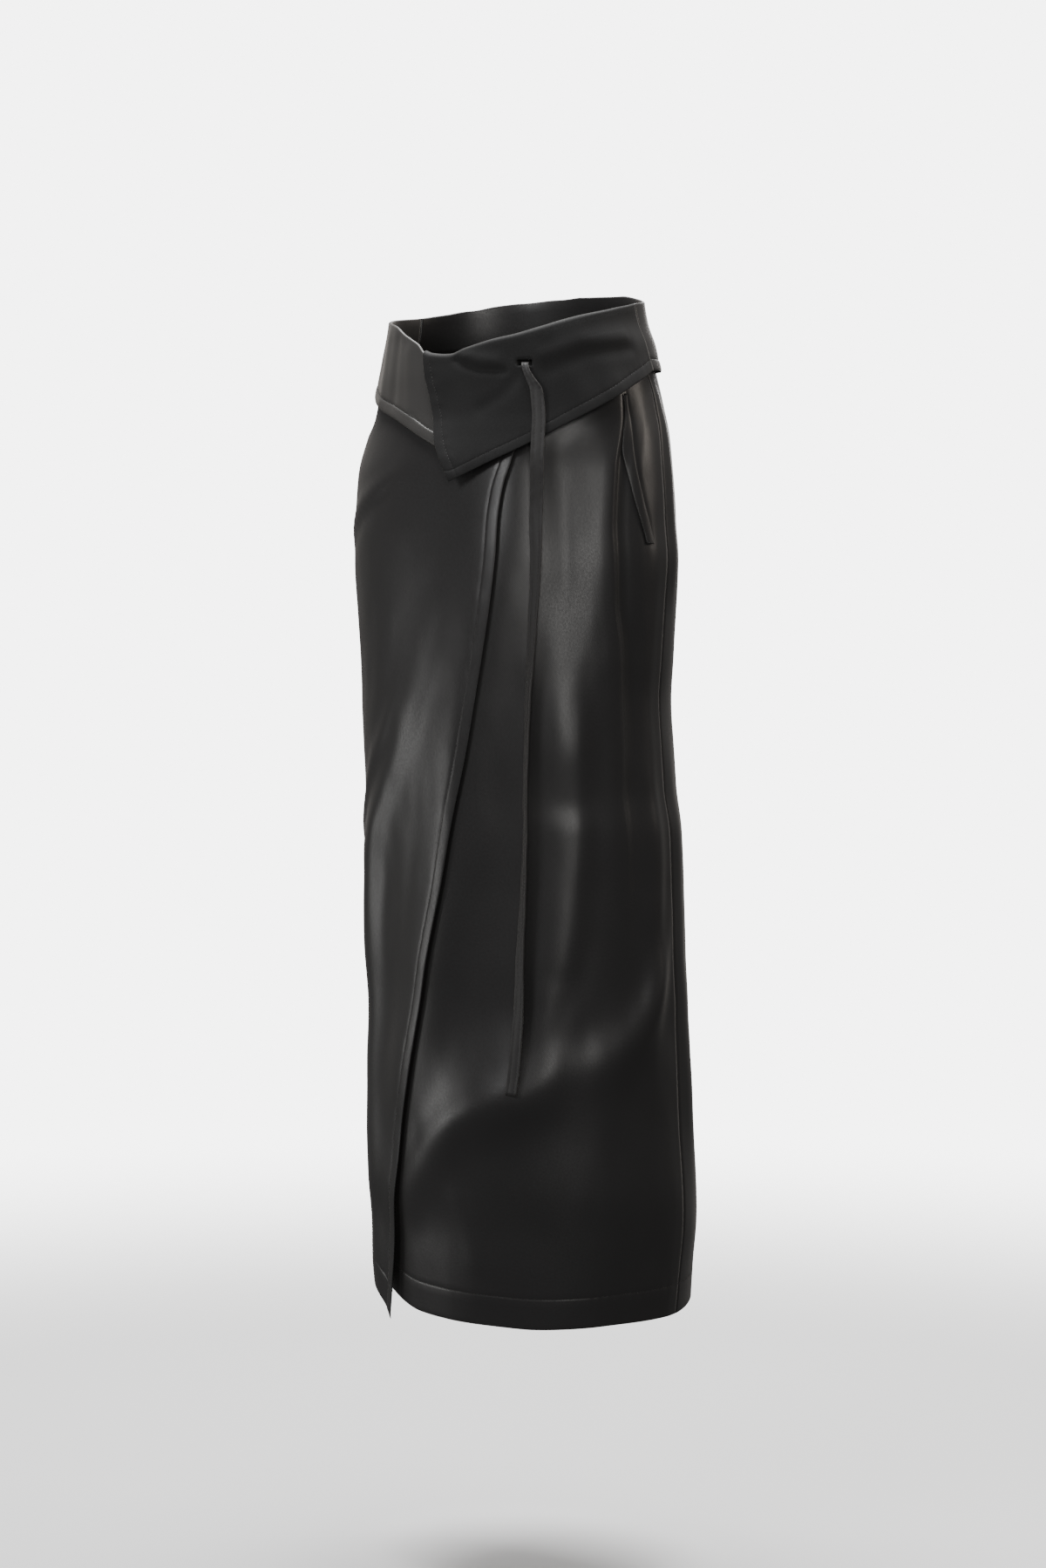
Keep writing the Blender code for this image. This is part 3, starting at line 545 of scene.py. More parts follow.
class SkirtSizes(bpy.types.PropertyGroup):
    """Sizes of the cloth and its sewing."""

    cloth_wall: FloatProperty(
        name="Cloth", description="Thickness of the cloth", default=0.0008, unit="LENGTH")
    tie_wall: FloatProperty(
        name="Tie", description="Thickness of the tie", default=0.0012, unit="LENGTH")
    edge_margin: FloatProperty(
        name="Edge margin", description="From a finished edge to its stitching",
        default=0.0100, unit="LENGTH")
    hem_depth: FloatProperty(
        name="Hem", description="From the hem's edge to its stitching", default=0.0280, unit="LENGTH")
    stitch_length: FloatProperty(
        name="Stitch", description="Length of one stitch", default=0.0024, unit="LENGTH")
    stitch_gap: FloatProperty(
        name="Stitch gap", description="Space between stitches", default=0.0009, unit="LENGTH")
    stitch_width: FloatProperty(
        name="Thread", description="Thickness of the thread", default=0.00042, unit="LENGTH")
    ripple: FloatProperty(
        name="Ripple", description="Height of the cloth's fine unevenness", default=0.0005, unit="LENGTH")


class SkirtColours(bpy.types.PropertyGroup):
    """Colours of the cloth, the thread and the stage."""

    satin: FloatVectorProperty(
        name="Satin", description="Face of the satin", default=(0.030, 0.029, 0.0295), subtype="COLOR")
    # Lighter than the satin: a painted sheen on the right cuff.
    cuff: FloatVectorProperty(
        name="Cuff", description="Satin of the plain cuffs", default=(0.060, 0.058, 0.056), subtype="COLOR")
    reverse: FloatVectorProperty(
        name="Reverse", description="Matt reverse of the satin",
        default=(0.022, 0.022, 0.0225), subtype="COLOR")
    # A little lighter than the satin: a painted sheen on the tie.
    tie: FloatVectorProperty(
        name="Tie", description="Folded satin of the tie", default=(0.035, 0.034, 0.034), subtype="COLOR")
    thread: FloatVectorProperty(
        name="Thread", description="Sewing thread", default=(0.040, 0.039, 0.039), subtype="COLOR")
    floor: FloatVectorProperty(
        name="Floor", description="Studio floor", default=(0.86, 0.86, 0.86), subtype="COLOR")


def sizes():
    """The sizes that the panel shows."""
    return bpy.context.scene.skirt_sizes


def colours():
    """The colours that the panel shows."""
    return bpy.context.scene.skirt_colours


def along(table, key, column=1):
    """One column of a table at a key, by a smooth curve through its rows."""
    keys = [row[0] for row in table]
    if key <= keys[0]:
        return table[0][column]
    if key >= keys[-1]:
        return table[-1][column]
    low = bisect.bisect_right(keys, key) - 1
    high = low + 1
    span = keys[high] - keys[low]
    share = (key - keys[low]) / span
    start = table[low][column]
    end = table[high][column]
    rise = (end - start) / span
    before = rise
    after = rise
    if low > 0:
        before = (start - table[low - 1][column]) / (keys[low] - keys[low - 1])
    if high < len(keys) - 1:
        after = (table[high + 1][column] - end) / (keys[high + 1] - keys[high])
    slope_start = 0.0 if before * rise <= 0 else 2 * before * rise / (before + rise)
    slope_end = 0.0 if after * rise <= 0 else 2 * after * rise / (after + rise)
    square = share * share
    cube = square * share
    return (
        (2 * cube - 3 * square + 1) * start
        + (cube - 2 * square + share) * slope_start * span
        + (3 * square - 2 * cube) * end
        + (cube - square) * slope_end * span
    )


def ease(low, high, key):
    """Soft step from 0 at low to 1 at high."""
    share = min(1.0, max(0.0, (key - low) / (high - low)))
    return share * share * (3 - 2 * share)


def bump(middle, breadth, key):
    """Bell of height 1 round the middle."""
    return math.exp(-(((key - middle) / breadth) ** 2))


def even_steps(start, end, count):
    """Values from start to end in equal steps."""
    return [start + (end - start) * step / count for step in range(count + 1)]


def wrapped(turn):
    """The same turn between -180 and 180 degrees."""
    return (turn + 180.0) % 360.0 - 180.0


def crease_rise(creases, turn, height):
    """How far a table of folds or creases pushes the cloth out at one place."""
    total = 0.0
    for _, breadth, rise, path in creases:
        nearest = 10.0
        for start, end in zip(path, path[1:]):
            step_across = (end[0] - start[0]) * METRES_PER_DEGREE
            step_up = end[1] - start[1]
            off_across = wrapped(turn - start[0]) * METRES_PER_DEGREE
            off_up = height - start[1]
            reach = (off_across * step_across + off_up * step_up) / (step_across ** 2 + step_up ** 2)
            reach = min(1.0, max(0.0, reach))
            away = math.hypot(off_across - reach * step_across, off_up - reach * step_up)
            nearest = min(nearest, away)
        if nearest < 3 * breadth:
            total += rise * math.exp(-((nearest / breadth) ** 2))
    return total


def ripple(turn, height, scale):
    """Fine unevenness of hanging cloth, from -1 to 1."""
    sine = math.sin(math.radians(turn))
    cosine = math.cos(math.radians(turn))
    place = Vector((sine * 0.15 * scale, cosine * 0.12 * scale, height * scale * 0.45))
    return noise.noise(place) * 1.6


def long_fold(fold, turn, height):
    """Rise of one long fold: a bell across its line, with a depth that changes along it."""
    _, _, way, line, below, above, depth = fold
    if way == "down":
        away = wrapped(turn - along(line, height)) * METRES_PER_DEGREE
        key = height
    else:
        away = height - along(line, wrapped(turn))
        key = wrapped(turn)
    breadth = below if away < 0 else above
    if abs(away) > 2.6 * breadth:
        return 0.0
    return along(depth, key) * math.exp(-((away / breadth) ** 2))


def fold_rise(turn, height, layer):
    """How far the folds, the creases and the tuck push one layer of the body cloth out."""
    total = sum(long_fold(fold, turn, height) for fold in FOLDS if fold[1] in (layer, "both"))
    total += crease_rise(CREASES, turn, height)
    total += sizes().ripple * (ripple(turn, height, 22.0) + 0.4 * ripple(turn, height, 60.0))
    seam = along(LINES, wrapped(turn), 2)
    total *= 1.0 - ease(seam - 0.045, seam - 0.002, height)
    past = (wrapped(turn) - along(TUCK_LINE, height)) * METRES_PER_DEGREE
    return total + along(TUCK_FORM, past) * along(TUCK_DEPTH, height)


def skin(turn, height, out, layer=""):
    """The point at a turn and a height, a distance out of the middle of the inner cloth.

    A layer, "top" or "under", adds the folds of that cloth."""
    half_width = along(SECTIONS, height, 1)
    half_depth = along(SECTIONS, height, 2)
    left = along(SECTIONS, height, 3)
    back = along(SECTIONS, height, 4)
    sine = math.sin(math.radians(turn))
    cosine = math.cos(math.radians(turn))
    length = math.hypot(sine / half_width, cosine / half_depth)
    if layer:
        out += fold_rise(turn, height, layer)
    return Vector((
        left + half_width * sine + out * sine / half_width / length,
        back - half_depth * cosine - out * cosine / half_depth / length,
        height,
    ))


def top_front_lift(turn):
    """How far the top front lies over the under front."""
    return WRAP_LIFT * ease(-SIDE_TURN, UNDER_EDGE_TURN - 3.0, turn)


def sewn_edge(away, margin, along_edge):
    """Relief beside a stitched edge: doubled cloth, a groove at the thread and small puckers."""
    doubled = DOUBLED_HEIGHT * (1.0 - ease(margin - 0.0006, margin + 0.0006, away))
    groove = GROOVE_HEIGHT * bump(margin, 0.0008, away)
    rounded = ROUNDING_HEIGHT * (1.0 - ease(0.0, 0.0009, away))
    fine, slow = PUCKER_WAVES
    wave = math.sin(along_edge * fine + 2.0 * math.sin(along_edge * slow))
    return doubled + groove + rounded + PUCKER_HEIGHT * bump(margin, 0.0060, away) * wave


def add_object(name, shape, material):
    """An object with a material, from a bmesh that is freed."""
    mesh = bpy.data.meshes.new(name)
    shape.to_mesh(mesh)
    shape.free()
    mesh.materials.append(material)
    thing = bpy.data.objects.new(name, mesh)
    bpy.context.scene.collection.objects.link(thing)
    return thing


def add_piece(name, shape, material):
    """A smooth piece of the skirt that rides on its body."""
    piece = add_object(name, shape, material)
    piece.data.shade_smooth()
    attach(piece, "root")
    return piece


def make_cloth(name, node, finish, columns, rows, place, wall, hole=None):
    """A sheet of cloth from a grid: place gives each corner's point, then the wall is thickened.

    A hole leaves out the faces from its first column to its second and from its first row to its
    second."""
    grid = bmesh.new()
    bmesh.ops.create_grid(grid, x_segments=columns, y_segments=rows, size=0.5)
    if hole:
        missing = []
        for face in grid.faces:
            middle = face.calc_center_median()
            column = int((middle.x + 0.5) * columns)
            row = int((middle.y + 0.5) * rows)
            if hole[0] <= column < hole[1] and hole[2] <= row < hole[3]:
                missing.append(face)
        bmesh.ops.delete(grid, geom=missing, context="FACES")
    pattern = grid.loops.layers.uv.new("cloth")
    laid_flat = {}
    for vert in grid.verts:
        column = round((vert.co.x + 0.5) * columns)
        row = round((vert.co.y + 0.5) * rows)
        point, across, up = place(column, row)
        vert.co = point
        laid_flat[vert] = (across, up)
    for face in grid.faces:
        for corner in face.loops:
            corner[pattern].uv = laid_flat[corner.vert]
    bmesh.ops.recalc_face_normals(grid, faces=grid.faces[:])
    piece = add_piece(name, grid, cloth_material(finish))
    thicken = piece.modifiers.new("wall", "SOLIDIFY")
    thicken.thickness = wall
    thicken.offset = 0.0
    thicken.use_even_offset = True
    thicken.use_quality_normals = True
    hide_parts(node)
    return piece


def sew(name, runs):
    """Rows of stitches, one small grain of thread each, along runs of (point, outward) pairs."""
    length = sizes().stitch_length
    pitch = length + sizes().stitch_gap
    width = sizes().stitch_width
    thread = bmesh.new()
    for run in runs:
        travelled = 0.0
        due = pitch * 0.5
        for (start, outward), (end, _) in zip(run, run[1:]):
            step = (end - start).length
            while step > 0 and travelled + step >= due:
                point = start.lerp(end, (due - travelled) / step)
                forward = (end - start).normalized()
                side = outward.cross(forward).normalized()
                up = forward.cross(side)
                turned = Matrix((forward, side, up)).transposed().to_4x4()
                stretched = Matrix.Diagonal((length / 2, width / 2, width / 2, 1.0))
                place = Matrix.Translation(point + up * width * 0.2) @ turned @ stretched
                bmesh.ops.create_uvsphere(thread, u_segments=6, v_segments=4, radius=1.0, matrix=place)
                due += pitch
            travelled += step
    return add_piece(name, thread, thread_material())


def outward_at(turn, height):
    """The way out of the cloth at one place."""
    return (skin(turn, height, 0.01) - skin(turn, height, 0.0)).normalized()


def stitch_run(places, layer=""):
    """Points and outward ways for a row of stitches, from (turn, height, distance out) places."""
    surface = sizes().cloth_wall / 2
    return [
        (skin(turn, height, out + surface, layer), outward_at(turn, height))
        for turn, height, out in places
    ]


def panel_height(turn, row, drop=0.0):
    """Height on a body panel: the lowest rows keep their distance above the hem."""
    top = along(LINES, wrapped(turn), 2) - WAIST_SPACE / 2
    bottom = along(LINES, wrapped(turn), 4) - drop
    from_hem = PANEL_ROWS + len(HEM_ROWS) - 1 - row
    if from_hem < len(HEM_ROWS):
        return bottom + HEM_ROWS[from_hem]
    share = row / PANEL_ROWS
    return top + (bottom + HEM_ROWS[-1] - top) * share


def hem_relief(turn, height, drop=0.0):
    """Relief of the sewn hem."""
    away = height - (along(LINES, wrapped(turn), 4) - drop)
    return sewn_edge(away, sizes().hem_depth, turn * METRES_PER_DEGREE)


def top_front_drop(share):
    """How far the hem of the top front dips towards its free corner."""
    return CORNER_DIP * max(0.0, share) ** 6


def top_front_out(turn, height, share, away):
    """How far out the top front lies at one place."""
    lift = top_front_lift(turn) + EDGE_LIFT * share ** 10
    lift += CORNER_STAND * share ** 8 * ease(-0.72, -0.88, height)
    return lift + sewn_edge(away, sizes().edge_margin, height)


def place_top_front(column, row):
    """Wearer's right front, which lies on top and ends in the slanting free edge."""
    seam = -SIDE_TURN + SEAM_TURN
    turned_in = max(0, SEAM_STEPS - column)
    plain = FRONT_COLUMNS + SEAM_STEPS
    height = FIRST_HEIGHT
    for _ in range(SETTLING):
        edge = along(TOP_EDGE, height)
        last = edge - EDGE_COLUMNS[-1] / METRES_PER_DEGREE
        if column <= plain:
            turn = seam + (last - seam) * max(0, column - SEAM_STEPS) / FRONT_COLUMNS
        else:
            turn = edge - EDGE_COLUMNS[len(EDGE_COLUMNS) - 1 - (column - plain)] / METRES_PER_DEGREE
        share = (turn - seam) / (edge - seam)
        drop = top_front_drop(share)
        height = panel_height(turn, row, drop)
    away = (edge - turn) * METRES_PER_DEGREE
    out = top_front_out(turn, height, share, away) + hem_relief(turn, height, drop)
    out -= SEAM_STEP * turned_in
    return skin(turn, height, out, "top"), turn * METRES_PER_DEGREE, height


def under_front_turns(height):
    """Columns of the under front at one height, from its hidden edge to the side seam."""
    line = along(TUCK_LINE, height)
    first = line + TUCK_COLUMNS[0]
    turns = even_steps(UNDER_EDGE_TURN, first, UNDER_COLUMNS)[:-1]
    for low, high in zip(TUCK_COLUMNS, TUCK_COLUMNS[1:]):
        parts = max(1, round((high - low) / 0.8))
        turns += [line + low + (high - low) * part / parts for part in range(parts)]
    return turns + even_steps(line + TUCK_COLUMNS[-1], SIDE_TURN - SEAM_TURN, SIDE_COLUMNS)


def place_under_front(column, row):
    """Wearer's left front, which runs under the top front."""
    height = FIRST_HEIGHT
    for _ in range(SETTLING):
        turns = under_front_turns(height)
        turn = turns[min(column, len(turns) - 1)]
        height = panel_height(turn, row)
    turned_in = max(0, column - len(turns) + 1)
    out = hem_relief(turn, height) + pocket_dip(turn, height) - SEAM_STEP * turned_in
    return skin(turn, height, out, "under"), turn * METRES_PER_DEGREE, height


def pocket_dip(turn, height):
    """The cloth falls in a little along the pocket's opening."""
    if height < POCKET[0][0] - 0.01 or height > POCKET[-1][0]:
        return 0.0
    past = (turn - along(POCKET, height, 2)) * METRES_PER_DEGREE
    fade = ease(POCKET[0][0] - 0.006, POCKET[0][0] + 0.010, height)
    return -POCKET_DIP * bump(POCKET_DIP_PAST, POCKET_DIP_BREADTH, past) * fade


def place_back(column, row):
    """Back, from side seam to side seam."""
    start, end = BACK_TURNS
    share = min(1.0, max(0.0, (column - SEAM_STEPS) / BACK_COLUMNS))
    turned_in = max(0, SEAM_STEPS - column, column - BACK_COLUMNS - SEAM_STEPS)
    turn = start + (end - start) * share
    height = panel_height(turn, row)
    out = hem_relief(turn, height) - SEAM_STEP * turned_in
    return skin(turn, height, out, "under"), turn * METRES_PER_DEGREE, height


def cuff_border(away):
    """Relief of a cuff's rolled border with its deep groove."""
    margin = sizes().edge_margin
    roll = BORDER_ROLL * math.sqrt(max(0.0, math.sin(math.pi * min(1.0, away / margin))))
    groove = BORDER_GROOVE * bump(margin + GROOVE_SHIFT, 0.0008, away)
    rounded = BORDER_ROUNDING * (1.0 - ease(0.0, 0.0010, away))
    return roll + groove + rounded


def cuff_heights(centre, lower):
    """Heights down the fall of a cuff, with close rows beside the border."""
    top = lower + EDGE_COLUMNS[-1]
    plain = even_steps(centre, top, FALL_ROWS)[1:]
    return plain + [lower + away for away in reversed(EDGE_COLUMNS[:-1])]


def cuff_out(turn, height, inner, radius, stand, centre, lower, creases):
    """How far out a cuff hangs at one place."""
    share = (centre - height) / (centre - lower)
    out = inner + 2 * radius + (stand - inner - 2 * radius) * share ** CUFF_CURVE
    out += cuff_border(height - lower)
    uneven, fineness = CUFF_UNEVEN
    return out + crease_rise(creases, turn, height) + uneven * share * ripple(turn, height, fineness)


def flap_cover(turn):
    """How much lower the right band lies under the flap."""
    return FLAP_COVER * ease(*FLAP_COVER_TURNS, turn)


def roll_band(row, turn, inner, radius, stand, lower, creases, sunk=0.0):
    """A point on a band that rises from the waist seam, rolls over and falls outside itself."""
    centre = along(LINES, wrapped(turn), 1) - radius - sunk
    seam = along(LINES, wrapped(turn), 2) + WAIST_SPACE / 2
    if row < LEG_ROWS:
        height = seam + (centre - seam) * row / LEG_ROWS
        return skin(turn, height, inner), height
    if row <= LEG_ROWS + ROLL_ROWS:
        angle = math.pi * (row - LEG_ROWS) / ROLL_ROWS
        out = inner + radius * (1 - math.cos(angle))
        uneven = FOLD_UNEVEN[0] * ripple(turn, centre, FOLD_UNEVEN[1])
        height = centre + (radius + uneven) * math.sin(angle)
        return skin(turn, height, out), centre + radius * angle
    height = cuff_heights(centre, lower)[row - LEG_ROWS - ROLL_ROWS - 1]
    out = cuff_out(turn, height, inner, radius, stand, centre, lower, creases)
    return skin(turn, height, out), centre + radius * math.pi + centre - height


def place_right_band(column, row):
    """Band of the wearer's right front, with its cuff turned down."""
    start = -SIDE_TURN + SEAM_TURN
    turn = start + (RIGHT_BAND_END - start) * column / BAND_COLUMNS
    lower = along(LINES, turn, 3)
    if turn > RIGHT_BAND_HIDDEN:
        lower = along(LINES, RIGHT_BAND_HIDDEN, 3) + RIGHT_BAND_RISE * (turn - RIGHT_BAND_HIDDEN)
    inner = top_front_lift(turn)
    point, up = roll_band(row, turn, inner, ROLL_RIGHT, inner + STAND_RIGHT, lower, CUFF_CREASES,
                          flap_cover(turn))
    return point, turn * METRES_PER_DEGREE, up


def place_back_band(column, row):
    """Band of the back, with its cuff turned down."""
    start, end = BACK_TURNS
    turn = start + (end - start) * column / BAND_COLUMNS
    lower = along(LINES, wrapped(turn), 3)
    point, up = roll_band(row, turn, 0.0, ROLL_BACK, STAND_BACK, lower, CUFF_CREASES)
    return point, turn * METRES_PER_DEGREE, up


def flap_turn(column, height):
    """Turn of one column of the flap, whose free end slants."""
    end = along(FLAP_END, height)
    if column < len(EDGE_COLUMNS):
        return end + EDGE_COLUMNS[column] / METRES_PER_DEGREE
    column -= len(EDGE_COLUMNS) - 1
    first = end + EDGE_COLUMNS[-1] / METRES_PER_DEGREE
    if column <= FLAP_BEFORE:
        return first + (HOLE_TURNS[0] - first) * column / FLAP_BEFORE
    column -= FLAP_BEFORE
    if column <= FLAP_HOLE:
        return HOLE_TURNS[0] + (HOLE_TURNS[1] - HOLE_TURNS[0]) * column / FLAP_HOLE
    column -= FLAP_HOLE
    finish = SIDE_TURN - SEAM_TURN
    return HOLE_TURNS[1] + (finish - HOLE_TURNS[1]) * column / FLAP_AFTER


def flap_heights(turn, centre, lower):
    """Heights down the flap, with rows that frame the buttonhole."""
    near = min(max(turn, HOLE_TURNS[0]), HOLE_TURNS[1])
    shift = along(LINES, turn, 1) - along(LINES, near, 1)
    first = HOLE_HEIGHTS[0] + shift * 0.9
    second = HOLE_HEIGHTS[1] + shift * 0.8
    top = lower + EDGE_COLUMNS[-1]
    heights = even_steps(centre, first, HOLE_ABOVE)[1:]
    heights += [(first + second) / 2, second]
    heights += even_steps(second, top, FLAP_FALL)[1:]
    return heights + [lower + away for away in reversed(EDGE_COLUMNS[:-1])]


def flap_fold(turn):
    """Radius of the flap's fold, the height of its middle, and the height of the lower edge."""
    radius = along(FLAP_STAND, turn, 1)
    return radius, along(LINES, turn, 1) - radius, along(FLAP_LOWER, turn)


def flap_out(turn, height):
    """How far out the flap hangs at one place."""
    radius, centre, lower = flap_fold(turn)
    share = min(1.0, max(0.0, (centre - height) / (centre - lower)))
    stand = along(FLAP_STAND, turn, 2)
    margin = sizes().edge_margin * FLAP_MARGIN
    out = 2 * radius + (stand - 2 * radius) * share ** FLAP_CURVE
    out += sewn_edge(height - lower, margin, turn * METRES_PER_DEGREE)
    from_end = (turn - along(FLAP_END, height)) * METRES_PER_DEGREE
    out += sewn_edge(from_end, margin, height)
    out += crease_rise(FLAP_CREASES, turn, height)
    uneven, fineness = FLAP_UNEVEN
    return out + uneven * ease(0.0, 0.2, share) * ripple(turn, height, fineness)


def place_left_band(column, row):
    """Band of the wearer's left front, whose broad flap folds over the other band."""
    if row <= LEG_ROWS + ROLL_ROWS:
        turn = flap_turn(column, FLAP_END[-1][0])
        radius, _, lower = flap_fold(turn)
        stand = along(FLAP_STAND, turn, 2)
        point, up = roll_band(row, turn, 0.0, radius, stand, lower, [])
        return point, turn * METRES_PER_DEGREE, up
    height = 0.0
    for _ in range(FLAP_SETTLING):
        turn = flap_turn(column, height)
        _, centre, lower = flap_fold(turn)
        height = flap_heights(turn, centre, lower)[row - LEG_ROWS - ROLL_ROWS - 1]
    return skin(turn, height, flap_out(turn, height)), turn * METRES_PER_DEGREE, centre + 0.012 - height


def place_welt(column, row):
    """Pocket welt, lying on the under front from the waistband down to the pocket's end."""
    lowest = POCKET[0][0]
    highest = POCKET[-1][0]
    height = highest + (lowest - highest) * row / WELT_ROWS
    stitched = along(POCKET, height, 1)
    opening = along(POCKET, height, 2)
    share = column / WELT_COLUMNS
    turn = stitched + (opening - stitched) * share
    crown = WELT_CROWN * math.sqrt(max(0.0, 1.0 - (2 * share - 1.0) ** 2))
    out = WELT_RISE + crown + WELT_SLANT * share
    return skin(turn, height, out, "under"), turn * METRES_PER_DEGREE, height


def tie_section(step):
    """Middle, side way, outward way and half width of the tie at a step along its route."""
    table = [(number,) + row for number, row in enumerate(TIE)]
    height, turn, out, half, turning = [along(table, step, column) for column in range(1, 6)]
    middle = skin(turn, height, out)
    outward = outward_at(turn, height)
    side = Vector((0.0, 0.0, 1.0)).cross(outward).normalized()
    facing = math.radians(turning)
    across = side * math.cos(facing) + outward * math.sin(facing)
    face = outward * math.cos(facing) - side * math.sin(facing)
    return middle, across, face, half


def place_tie(column, row):
    """Tie: in through the buttonhole, then down outside the flap to its bare end."""
    step = row / TIE_ROWS * (len(TIE) - 1)
    middle, across, face, half = tie_section(step)
    part = TIE_PARTS[column]
    groove, breadth = TIE_GROOVE
    wave, fineness = TIE_WAVE
    relief = groove * sum(bump(line, breadth, part) for line in TIE_SEWING)
    relief += wave * math.sin(step * fineness + part * 2.0) * abs(part)
    return middle + across * half * part + face * relief, half * part, middle.z


def new_material(name, roughness, specular, sheen):
    """A cloth shader with its constant values set, and its nodes and links to build on."""
    material = bpy.data.materials.new(name)
    material.use_nodes = True
    shader = material.node_tree.nodes["Principled BSDF"]
    shader.inputs["Roughness"].default_value = roughness
    shader.inputs["Specular IOR Level"].default_value = specular
    shader.inputs["Sheen Weight"].default_value = sheen
    shader.inputs["Sheen Roughness"].default_value = 0.4
    shader.inputs["Sheen Tint"].default_value = (1.0, 0.93, 0.86, 1.0)
    return material, shader, material.node_tree.nodes, material.node_tree.links


def add_noise(nodes, links, place, scale, detail=2.0, roughness=0.5):
    """Noise at a place of the pattern."""
    texture = nodes.new("ShaderNodeTexNoise")
    texture.inputs["Scale"].default_value = scale
    texture.inputs["Detail"].default_value = detail
    texture.inputs["Roughness"].default_value = roughness
    links.new(place, texture.inputs["Vector"])
    return texture.outputs["Fac"]


def add_tones(nodes, links, shader, factor, colour, dark, light):
    """A colour that varies between a darker and a lighter tone."""
    tone = nodes.new("ShaderNodeMix")
    tone.data_type = "RGBA"
    tone.inputs["A"].default_value = [value * dark for value in colour] + [1.0]
    tone.inputs["B"].default_value = [value * light for value in colour] + [1.0]
    links.new(factor, tone.inputs["Factor"])
    links.new(tone.outputs["Result"], shader.inputs["Base Color"])


def add_range(nodes, links, value, source, result, target):
    """A value carried from its source range to a result range."""
    scale = nodes.new("ShaderNodeMapRange")
    scale.inputs["From Min"].default_value, scale.inputs["From Max"].default_value = source
    scale.inputs["To Min"].default_value, scale.inputs["To Max"].default_value = result
    links.new(value, scale.inputs["Value"])
    links.new(scale.outputs["Result"], target)
    return scale


def cloth_material(name):
    """Woven cloth: two close tones, uneven gloss, and a weave of threads that follows the cloth."""
    material = bpy.data.materials.get(name)
    if material:
        return material
    colour, roughness, specular, sheen, pitch, depth = FINISHES[name]
    material, shader, nodes, links = new_material(name, roughness, specular, sheen)
    pattern = nodes.new("ShaderNodeUVMap")
    pattern.uv_map = "cloth"
    place = pattern.outputs["UV"]
    patches = add_noise(nodes, links, place, 14.0, detail=4.0)
    add_tones(nodes, links, shader, patches, getattr(colours(), colour), 0.86, 1.16)
    weave = nodes.new("ShaderNodeTexWave")
    weave.bands_direction = "DIAGONAL"
    weave.inputs["Scale"].default_value = 0.314 / pitch
    weave.inputs["Distortion"].default_value = 1.2
    weave.inputs["Detail"].default_value = 1.0
    links.new(place, weave.inputs["Vector"])
    both = nodes.new("ShaderNodeMath")
    both.operation = "ADD"
    links.new(weave.outputs["Fac"], both.inputs[0])
    links.new(add_noise(nodes, links, place, 0.8 / pitch), both.inputs[1])
    specks = add_noise(nodes, links, place, 0.5 / pitch, detail=3.0, roughness=0.7)
    add_range(nodes, links, specks, (0.3, 0.7), (roughness - 0.07, roughness + 0.08),
              shader.inputs["Roughness"])
    relief = nodes.new("ShaderNodeBump")
    relief.inputs["Strength"].default_value = 0.35
    relief.inputs["Distance"].default_value = depth
    links.new(both.outputs["Value"], relief.inputs["Height"])
    links.new(relief.outputs["Normal"], shader.inputs["Normal"])
    return material


def thread_material():
    """Sewing thread, a little lighter than the cloth, with its twist."""
    material = bpy.data.materials.get("thread")
    if material:
        return material
    material, shader, nodes, links = new_material("thread", 0.5, 0.4, 0.2)
    place = nodes.new("ShaderNodeTexCoord")
    twist = add_noise(nodes, links, place.outputs["Object"], 900.0)
    add_tones(nodes, links, shader, twist, colours().thread, 0.7, 1.4)
    return material


def tie_run(part):
    """One row of stitches down the tie."""
    run = []
    for row in range(14, TIE_ROWS + 1, 2):
        middle, across, face, half = tie_section(row / TIE_ROWS * (len(TIE) - 1))
        point = middle + across * half * part + face * (sizes().tie_wall / 2 - 0.00022)
        run.append((point, face))
    return run


class SKIRT_OT_tie(bpy.types.Operator):
    """Flat tie with two rows of stitches, through the buttonhole and down to its bare end"""

    bl_idname = "skirt.tie"
    bl_label = "Tie"

    def execute(self, context):
        # The tie's finish has a slightly lighter colour as a painted sheen.
        tie = make_cloth("tie_cloth", "tie", "satin_tie", len(TIE_PARTS) - 1, TIE_ROWS,
                         place_tie, sizes().tie_wall)
        rows = sew("tie_stitches", [tie_run(part) for part in TIE_SEWING])
        path = [tie_section(step / 2)[0] for step in range(2 * len(TIE) - 1)]
        return {"FINISHED"}


def edge_run():
    """Stitches beside the free edge of the top front."""
    places = []
    away = sizes().edge_margin
    for height in even_steps(*EDGE_SEWING):
        edge = along(TOP_EDGE, height)
        turn = edge - away / METRES_PER_DEGREE
        share = (turn + SIDE_TURN) / (edge + SIDE_TURN)
        places.append((turn, height, top_front_out(turn, height, share, away)))
    return stitch_run(places, "top")


def flat(turn):
    """No rise or drop, whatever the turn."""
    return 0.0


def hem_run(start, end, layer, lift=flat, drop=flat):
    """Stitches along the hem between two turns."""
    places = []
    for turn in even_steps(start, end, HEM_STEPS):
        height = along(LINES, wrapped(turn), 4) - drop(turn) + sizes().hem_depth
        places.append((turn, height, lift(turn) + hem_relief(turn, height, drop(turn))))
    return stitch_run(places, layer)


